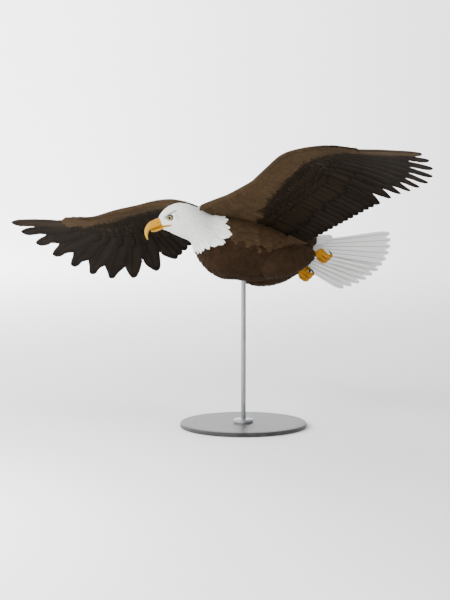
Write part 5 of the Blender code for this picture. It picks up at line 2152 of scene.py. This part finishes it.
# ---- feet ----
@dataclass
class Foot:
    """One clenched foot on its shank, with four claws."""

    name: str
    side: int
    down: float = math.radians(8)
    shank_from: tuple[float, float, float] = (0.060, 0.098, -0.088)  # what the shank points away from
    toe_radius: float = 0.0068
    toe_spacing: float = 0.0155
    toe_curl: float = 0.0165
    claw_curl: float = 0.0125
    claw_radius: float = 0.0036

    def arc(self, start: Array, angle: float, turn: float, radius: float, steps: int) -> tuple:
        """Points and directions along an arc in the y-z plane, from angle, turning by turn.

        Args:
            start: The first point.
            angle: The first direction.
            turn: How far it turns.
            radius: The radius.
            steps: Steps along it.

        Returns:
            The points and the directions.
        """
        sign = 1 if turn > 0 else -1
        a = angle + turn * np.arange(steps + 1) / steps
        y = radius * sign * (np.sin(a) - math.sin(angle))
        z = radius * sign * (math.cos(angle) - np.cos(a))
        points = np.asarray(start) + np.stack([np.zeros_like(y), y, z], axis=1)
        return points, np.stack([np.zeros_like(a), np.cos(a), np.sin(a)], axis=1)

    def tube(self, points: Array, along: Array, radii: Array, sides: int) -> Array:
        """Rings round a path; radii has a number for each ring, or for each point of each ring.

        Args:
            points: The path.
            along: Its directions.
            radii: Radii.
            sides: Points round a ring.

        Returns:
            Points by ring and place round it.
        """
        across = unit(np.array([1.0, 0, 0]) - along * along[:, :1])
        up = np.cross(across, along)
        turn = circle(sides)
        spoke = across[:, None] * np.cos(turn)[None, :, None] + up[:, None] * np.sin(turn)[None, :, None]
        radii = radii if radii.ndim == 2 else np.repeat(radii[:, None], sides, axis=1)
        return points[:, None] + spoke * radii[..., None]

    def toe(self, label: str, x: float, angle: float, curl: float, z: float, place: Matrix) -> tuple:
        """One toe with its scutes and pads, and its claw, as an object and rings.

        Args:
            label: Which toe.
            x: Its root, aside.
            angle: Its first direction.
            curl: How far it turns.
            z: Its root, up.
            place: The foot's matrix.

        Returns:
            The toe's object and the claw's rings.
        """
        hind = label == "hind"
        radius = self.toe_curl * (0.84 if hind else 1.0)
        steps, sides = 42, 20
        points, along = self.arc(np.array([x, 0.006, z]), angle, curl, radius, steps)
        share = np.linspace(0, 1, steps + 1)
        knots = np.linspace(0, 1, 7)
        width = smooth_along(knots, np.array([0.95, 1.08, 0.90, 1.06, 0.90, 0.98, 0.72]), share) * self.toe_radius
        turn = circle(sides)
        outside = np.sin(turn)[None] * (-1 if curl > 0 else 1)  # 1 on the back of the toe
        scutes = np.abs(np.sin(np.pi * share * 9))[:, None] ** 0.5
        pads = np.abs(np.sin(np.pi * share * 3 + 0.5))[:, None]
        scaled = 0.07 * (scutes - 1) * np.clip(outside, 0, 1)
        radii = width[:, None] * (1 + scaled + 0.10 * pads * np.clip(-outside, 0, 1))
        # Painted shade in the creases between the scutes on the back of the toe.
        crease = (1 - scutes) ** 2 * np.clip(outside * 1.5, 0, 1)
        rings = self.tube(points, along, radii, sides)
        toe = closed_loft(f"toe_{label}", rings, None, place, values={"crease": crease.ravel()})
        sweep = math.radians(112) * (-1 if hind else 1)
        base = points[-1] - along[-1] * 0.002
        claw_points, claw_along = self.arc(base, angle + curl, sweep, self.claw_curl, 28)
        t = np.linspace(0, 1, 29)
        taper = self.claw_radius * (1.04 - 0.96 * t**1.25)
        return toe, self.tube(claw_points, claw_along, taper, 16)

    def build(self, skin: Material, horn: Material) -> None:
        """Makes the foot with its shank, and the claws.

        Args:
            skin: The material of the toes.
            horn: The material of the claws.
        """
        hip = Vector((self.side * self.shank_from[0], *self.shank_from[1:]))
        roll = Matrix.Rotation(-FEET_ROLL, 4, "Y")
        ankle = ankle_at(self.side)
        along = (ankle - hip).normalized()
        start, end = hip.lerp(ankle, 0.80), ankle - along * 0.004
        share = np.linspace(0, 1, 40)
        points = np.array(start)[None] + np.array(end - start)[None] * share[:, None]
        scutes = np.abs(np.sin(np.pi * share * 10)) ** 0.5
        turn = circle(24)
        front = np.clip(np.sin(turn), 0, 1)[None]
        radii = 0.0092 * (1 - 0.06 * (1 - scutes)[:, None] * front)
        # Painted shade in the creases between the shank's scutes.
        crease = ((1 - scutes) ** 2)[:, None] * front
        rings = self.tube(points, np.repeat(np.array(along)[None], 40, axis=0), radii, 24)
        shank = closed_loft(f"foot_skin_{self.name}", rings, skin, values={"crease": crease.ravel()})
        place = BIRD @ Matrix.Translation(ankle) @ roll @ Matrix.Rotation(-self.down, 4, "X")
        polar = np.linspace(0.05, math.pi - 0.05, 20)
        turn = circle(28)
        long, wide = np.cos(polar)[:, None] * np.ones(28), np.sin(polar)[:, None]
        ball = np.stack(
            [long * 0.0205, 0.0025 + 0.0125 * wide * np.cos(turn), 0.0135 * wide * np.sin(turn)], axis=-1
        )
        palm = closed_loft("palm", ball, skin, place, values={"crease": np.zeros(20 * 28)})
        s, sp = self.side, self.toe_spacing
        toes = [
            ("inner", s * -sp, -75, 150, -0.006),
            ("middle", 0.0, -75, 158, -0.007),
            ("outer", s * sp, -75, 144, -0.006),
            ("hind", s * -sp * 0.5, 70, -128, 0.007),
        ]
        joined, claws = [palm], []
        for label, x, angle, curl, z in toes:
            toe, claw = self.toe(label, x, math.radians(angle), math.radians(curl), z, place)
            joined.append(toe)
            claws.append(claw)
        place_piece(combined(shank, joined), "scaly_skin", f"foot_{self.name}", f"shank_{self.name}")
        rows, columns = claws[0].shape[:2]
        along = np.tile(np.repeat(np.linspace(0, 1, rows), columns), len(claws))
        points = np.concatenate(claws).reshape(-1, 3)
        values = {"along": along, "crease": np.zeros(len(points))}
        faces = loft_faces(rows, columns, len(claws))
        made = make_object(f"claws_{self.name}", points, faces, horn, place, values=values)
        nodes = [f"talon_{self.name}_{label}" for label, *_ in toes]
        place_piece(turned_out(made), "talon", *nodes)


# ---- stand ----
@dataclass
class Stand:
    """The display stand: an enamelled steel base, a screwed flange and a steel rod."""

    base_radius: float = 0.21
    base_thick: float = 0.014
    flange_radius: float = 0.032
    flange_thick: float = 0.010
    rod_radius: float = 0.008
    gap: float = 0.0004
    screw_circle: float = 0.022
    screw_radius: float = 0.0032

    def turned(
        self, name: str, profile: list[tuple[float, float]], finish: Material, segments: int = 128
    ) -> Object:
        """A closed ring or disc turned from a profile of radius and height, given from the bottom up.

        Args:
            name: The name.
            profile: Radii and heights.
            finish: The material.
            segments: Points round it.

        Returns:
            The object.
        """
        turn = circle(segments)
        spoke = np.stack([np.cos(turn), np.sin(turn)], axis=1)
        rings = np.array([np.concatenate([spoke * r, np.full((segments, 1), z)], axis=1) for r, z in profile])
        return closed_loft(name, rings, finish, Matrix.Identity(4), crease=30)

    def build(self) -> None:
        """Makes the pieces of the stand."""
        enamel, steel = ENAMEL.material(), STEEL.material()
        r, t = self.base_radius, self.base_thick
        edge = [(r - 0.0012, 0.0), (r, 0.0012), (r, t - 0.003)]
        edge += [(r - 0.003 + 0.003 * math.cos(a), t - 0.003 + 0.003 * math.sin(a)) for a in (0.4, 0.8, 1.2, 1.5708)]
        edge += [(r - 0.012, t), (r - 0.0125, t - 0.0005), (r - 0.0135, t - 0.0005), (r - 0.014, t)]
        base = self.turned("round_base", edge, enamel)
        place_piece(base, "base_paint", "stand_base")
        low, high = t + self.gap, t + self.gap + self.flange_thick
        f = self.flange_radius
        rim = [(f, low), (f, high - 0.002), (f - 0.0008, high - 0.0006), (f - 0.002, high)]
        rim += [(self.rod_radius + 0.0026, high), (self.rod_radius + 0.0018, high)]
        flange = self.turned("rod_flange", rim, steel, 96)
        bore = self.rod_radius + self.gap
        hole = self.turned("hole", [(bore, low - 0.01), (bore, high + 0.01)], steel, 96)
        combined(flange, [hole], "DIFFERENCE")
        for k in range(3):
            angle = 2 * math.pi * k / 3 + 0.5
            at = Vector((self.screw_circle * math.cos(angle), self.screw_circle * math.sin(angle), 0))
            head = self.turned(
                "screw", [(self.screw_radius, high - 0.001), (self.screw_radius, high + 0.0006),
                          (self.screw_radius - 0.0006, high + 0.0010)], steel, 32,
            )
            socket = self.turned("socket", [(0.0014, high - 0.0004), (0.0014, high + 0.01)], steel, 6)
            combined(head, [socket], "DIFFERENCE")
            head.data.transform(Matrix.Translation(at))
            combined(flange, [head])
        flange.data.set_sharp_from_angle(angle=math.radians(30))
        place_piece(flange, "steel", "stand_flange")
        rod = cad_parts["stand_rod"]
        rod.data.materials.clear()
        rod.data.materials.append(steel)


# ---- studio ----
@dataclass
class Studio:
    """A pale seamless bowl for floor and backdrop, soft lights, and the camera."""

    azimuth: float = 59.7
    elevation: float = 6.0
    distance: float = 6.0
    scale: float = 304.24  # of the frame at the bird, per metre, where the frame's long side is 600
    aside: float = -0.0610
    raised: float = -0.1778
    aim_height: float = 0.60
    wall_power: float = 1250.0
    floor_flat: float = 8.0
    floor_curve: float = 5.0
    wall_height: float = 14.0
    sensor: float = 36.0
    long_side: int = 600

    def bowl(self) -> None:
        """Makes the floor, which curves up to a far wall on every side."""
        coat = Coating("matt_studio_paper")  # dull paper with a faint fibre, darker to the right
        at = coat.add("TexCoord").outputs["Object"]
        fibre = coat.add("TexNoise", Vector=at, Scale=220.0, Detail=2.0)
        tone = coat.add("MapRange", Value=fibre, To_Min=0.985, To_Max=1.015)
        right = (math.cos(math.radians(self.azimuth)), math.sin(math.radians(self.azimuth)), 0.0)
        across = coat.add("VectorMath", {"operation": "DOT_PRODUCT"}, i0=at, i1=right)
        # Painted shade: the paper darkens to the right, as where the light falls off.
        painted_right_shade = coat.add(
            "MapRange", SOFT, Value=across, From_Min=-2.4, From_Max=2.4, To_Min=1.06, To_Max=0.72
        )
        tone = coat.add("Math", TIMES, i0=tone, i1=painted_right_shade)
        made = coat.finish(
            Base_Color=coat.add("Mix", TINT, i0=1.0, i6="#F6F6F6", i7=tone),
            Roughness=0.95, Specular_IOR_Level=0.1,
        )
        profile = [(r, 0.0) for r in np.linspace(0.01, self.floor_flat, 24)]
        for a in np.linspace(0, math.pi / 2, 24)[1:]:
            out, up = self.floor_curve * math.sin(a), self.floor_curve * (1 - math.cos(a))
            profile.append((self.floor_flat + out, up))
        profile.append((self.floor_flat + self.floor_curve, self.wall_height))
        turn = circle(96)
        points = np.array([[r * math.cos(a), r * math.sin(a), z] for r, z in profile for a in turn])
        faces = [grid_faces(len(profile), 96), [list(range(96))]]
        bowl = make_object("studio_floor", points, faces, made, Matrix.Translation((0, 0, -0.0005)))

    def light(self, name: str, at: Vector, target: Vector, size: float, power: float, colour: str) -> None:
        """Makes one soft area light. Only the key light shows in glossy things, as one clean highlight.

        Args:
            name: The name.
            at: Where it is.
            target: What it points at.
            size: How wide it is.
            power: Its power in watts.
            colour: Its hex colour.
        """
        data = bpy.data.lights.new(name, "AREA")
        data.shape = "DISK"
        data.size = size
        data.energy = power
        data.color = linear(colour)[:3]
        lamp = bpy.data.objects.new(name, data)
        bpy.context.scene.collection.objects.link(lamp)
        lamp.location = at
        lamp.visible_camera = False
        lamp.visible_glossy = name == "key"
        lamp.rotation_mode = "QUATERNION"
        lamp.rotation_quaternion = (target - at).to_track_quat("-Z", "Y")

    def build(self) -> None:
        """Makes the floor, the lights and the camera."""
        self.bowl()
        a, e = math.radians(self.azimuth), math.radians(self.elevation)
        back = Vector((math.sin(a) * math.cos(e), -math.cos(a) * math.cos(e), math.sin(e)))
        right = Vector((math.cos(a), math.sin(a), 0))
        up = right.cross(-back)
        aim = Vector((0, 0, self.aim_height)) + right * self.aside + up * self.raised
        data = bpy.data.cameras.new("camera")
        data.sensor_width = self.sensor
        data.lens = self.scale * self.distance / self.long_side * self.sensor
        camera = bpy.data.objects.new("camera", data)
        bpy.context.scene.collection.objects.link(camera)
        camera.location = aim + back * self.distance
        camera.rotation_mode = "QUATERNION"
        camera.rotation_quaternion = (-back).to_track_quat("-Z", "Y")
        bpy.context.scene.camera = camera
        target = Vector((0, 0, 0.6))
        level = Vector((back.x, back.y, 0)).normalized()
        for name, place, size, power, colour in (
            ("key", level * 3.2 - right * 3.4 + Vector((0, 0, 3.6)), 2.4, 235, "#FFFDF8"),
            ("fill", level * 4.0 + right * 3.5 + Vector((0, 0, 0.6)), 3.5, 36, "#F6F9FF"),
            ("top", Vector((0, 0, 5.5)) - level, 4.0, 102, "#FFFFFF"),
            ("low", level * 3.0 + Vector((0, 0, -0.35)), 2.0, 20, "#FFFFFF"),
        ):
            self.light(name, target + place, target, size, power, colour)
        for name, place, size, power in (
            ("near_wash", level * 1.5 - right * 1.5 + Vector((0, 0, 1.1)), 0.8, 60),
            ("far_wash", -level * 6.0 - right * 3.2 + Vector((0, 0, 3.0)), 2.0, 330),
        ):
            self.light(name, place, place - Vector((0, 0, 1)), size, power, "#FFFFFF")
        for k in range(6):
            angle = a + math.pi * (k + 0.5) / 3
            out = Vector((math.cos(angle), math.sin(angle), 0))
            left, far = 0.5 - 0.5 * out.dot(right), 0.5 - 0.5 * out.dot(level)
            self.light(f"wall_{k}", out * 6.0 + Vector((0, 0, 7.5)), out * 13 + Vector((0, 0, 2.5)), 3.0,
                       self.wall_power * (0.15 + 1.5 * left) * (0.45 + 0.7 * far), "#FFFFFF")
        world = bpy.data.worlds.new("pale_room")
        world.use_nodes = True
        bpy.context.scene.world = world
        sky = world.node_tree.nodes["Background"]
        sky.inputs["Color"].default_value = linear("#F2F4F6")
        sky.inputs["Strength"].default_value = 0.5


def main() -> None:
    """Builds the bird, its stand and the studio."""
    logging.basicConfig(level=logging.INFO, format="%(name)s: %(message)s")
    coat = BodyCoat()
    coat.build()
    Bill(coat.head).build()
    EyesAndGape(coat).build()
    coverts, flight = BROWN_WING.material(), FLIGHT.material()
    for number, wing in enumerate(WINGS):
        for side in Face:
            wing.coverts(side, coverts, 20 + 2 * number + (side is Face.UNDER))
        wing.flight("secondaries", 0, wing.secondaries, flight, 30 + number)
        wing.flight("primaries", wing.secondaries, len(wing.bases), flight, 34 + number)
    Tail().build(WHITE_TAIL.material())
    skin, horn = FOOT.material(), CLAW.material()
    for name, side in SIDES:
        Foot(name, side).build(skin, horn)
    Stand().build()
    Studio().build()


if __name__ == "__main__":
    main()
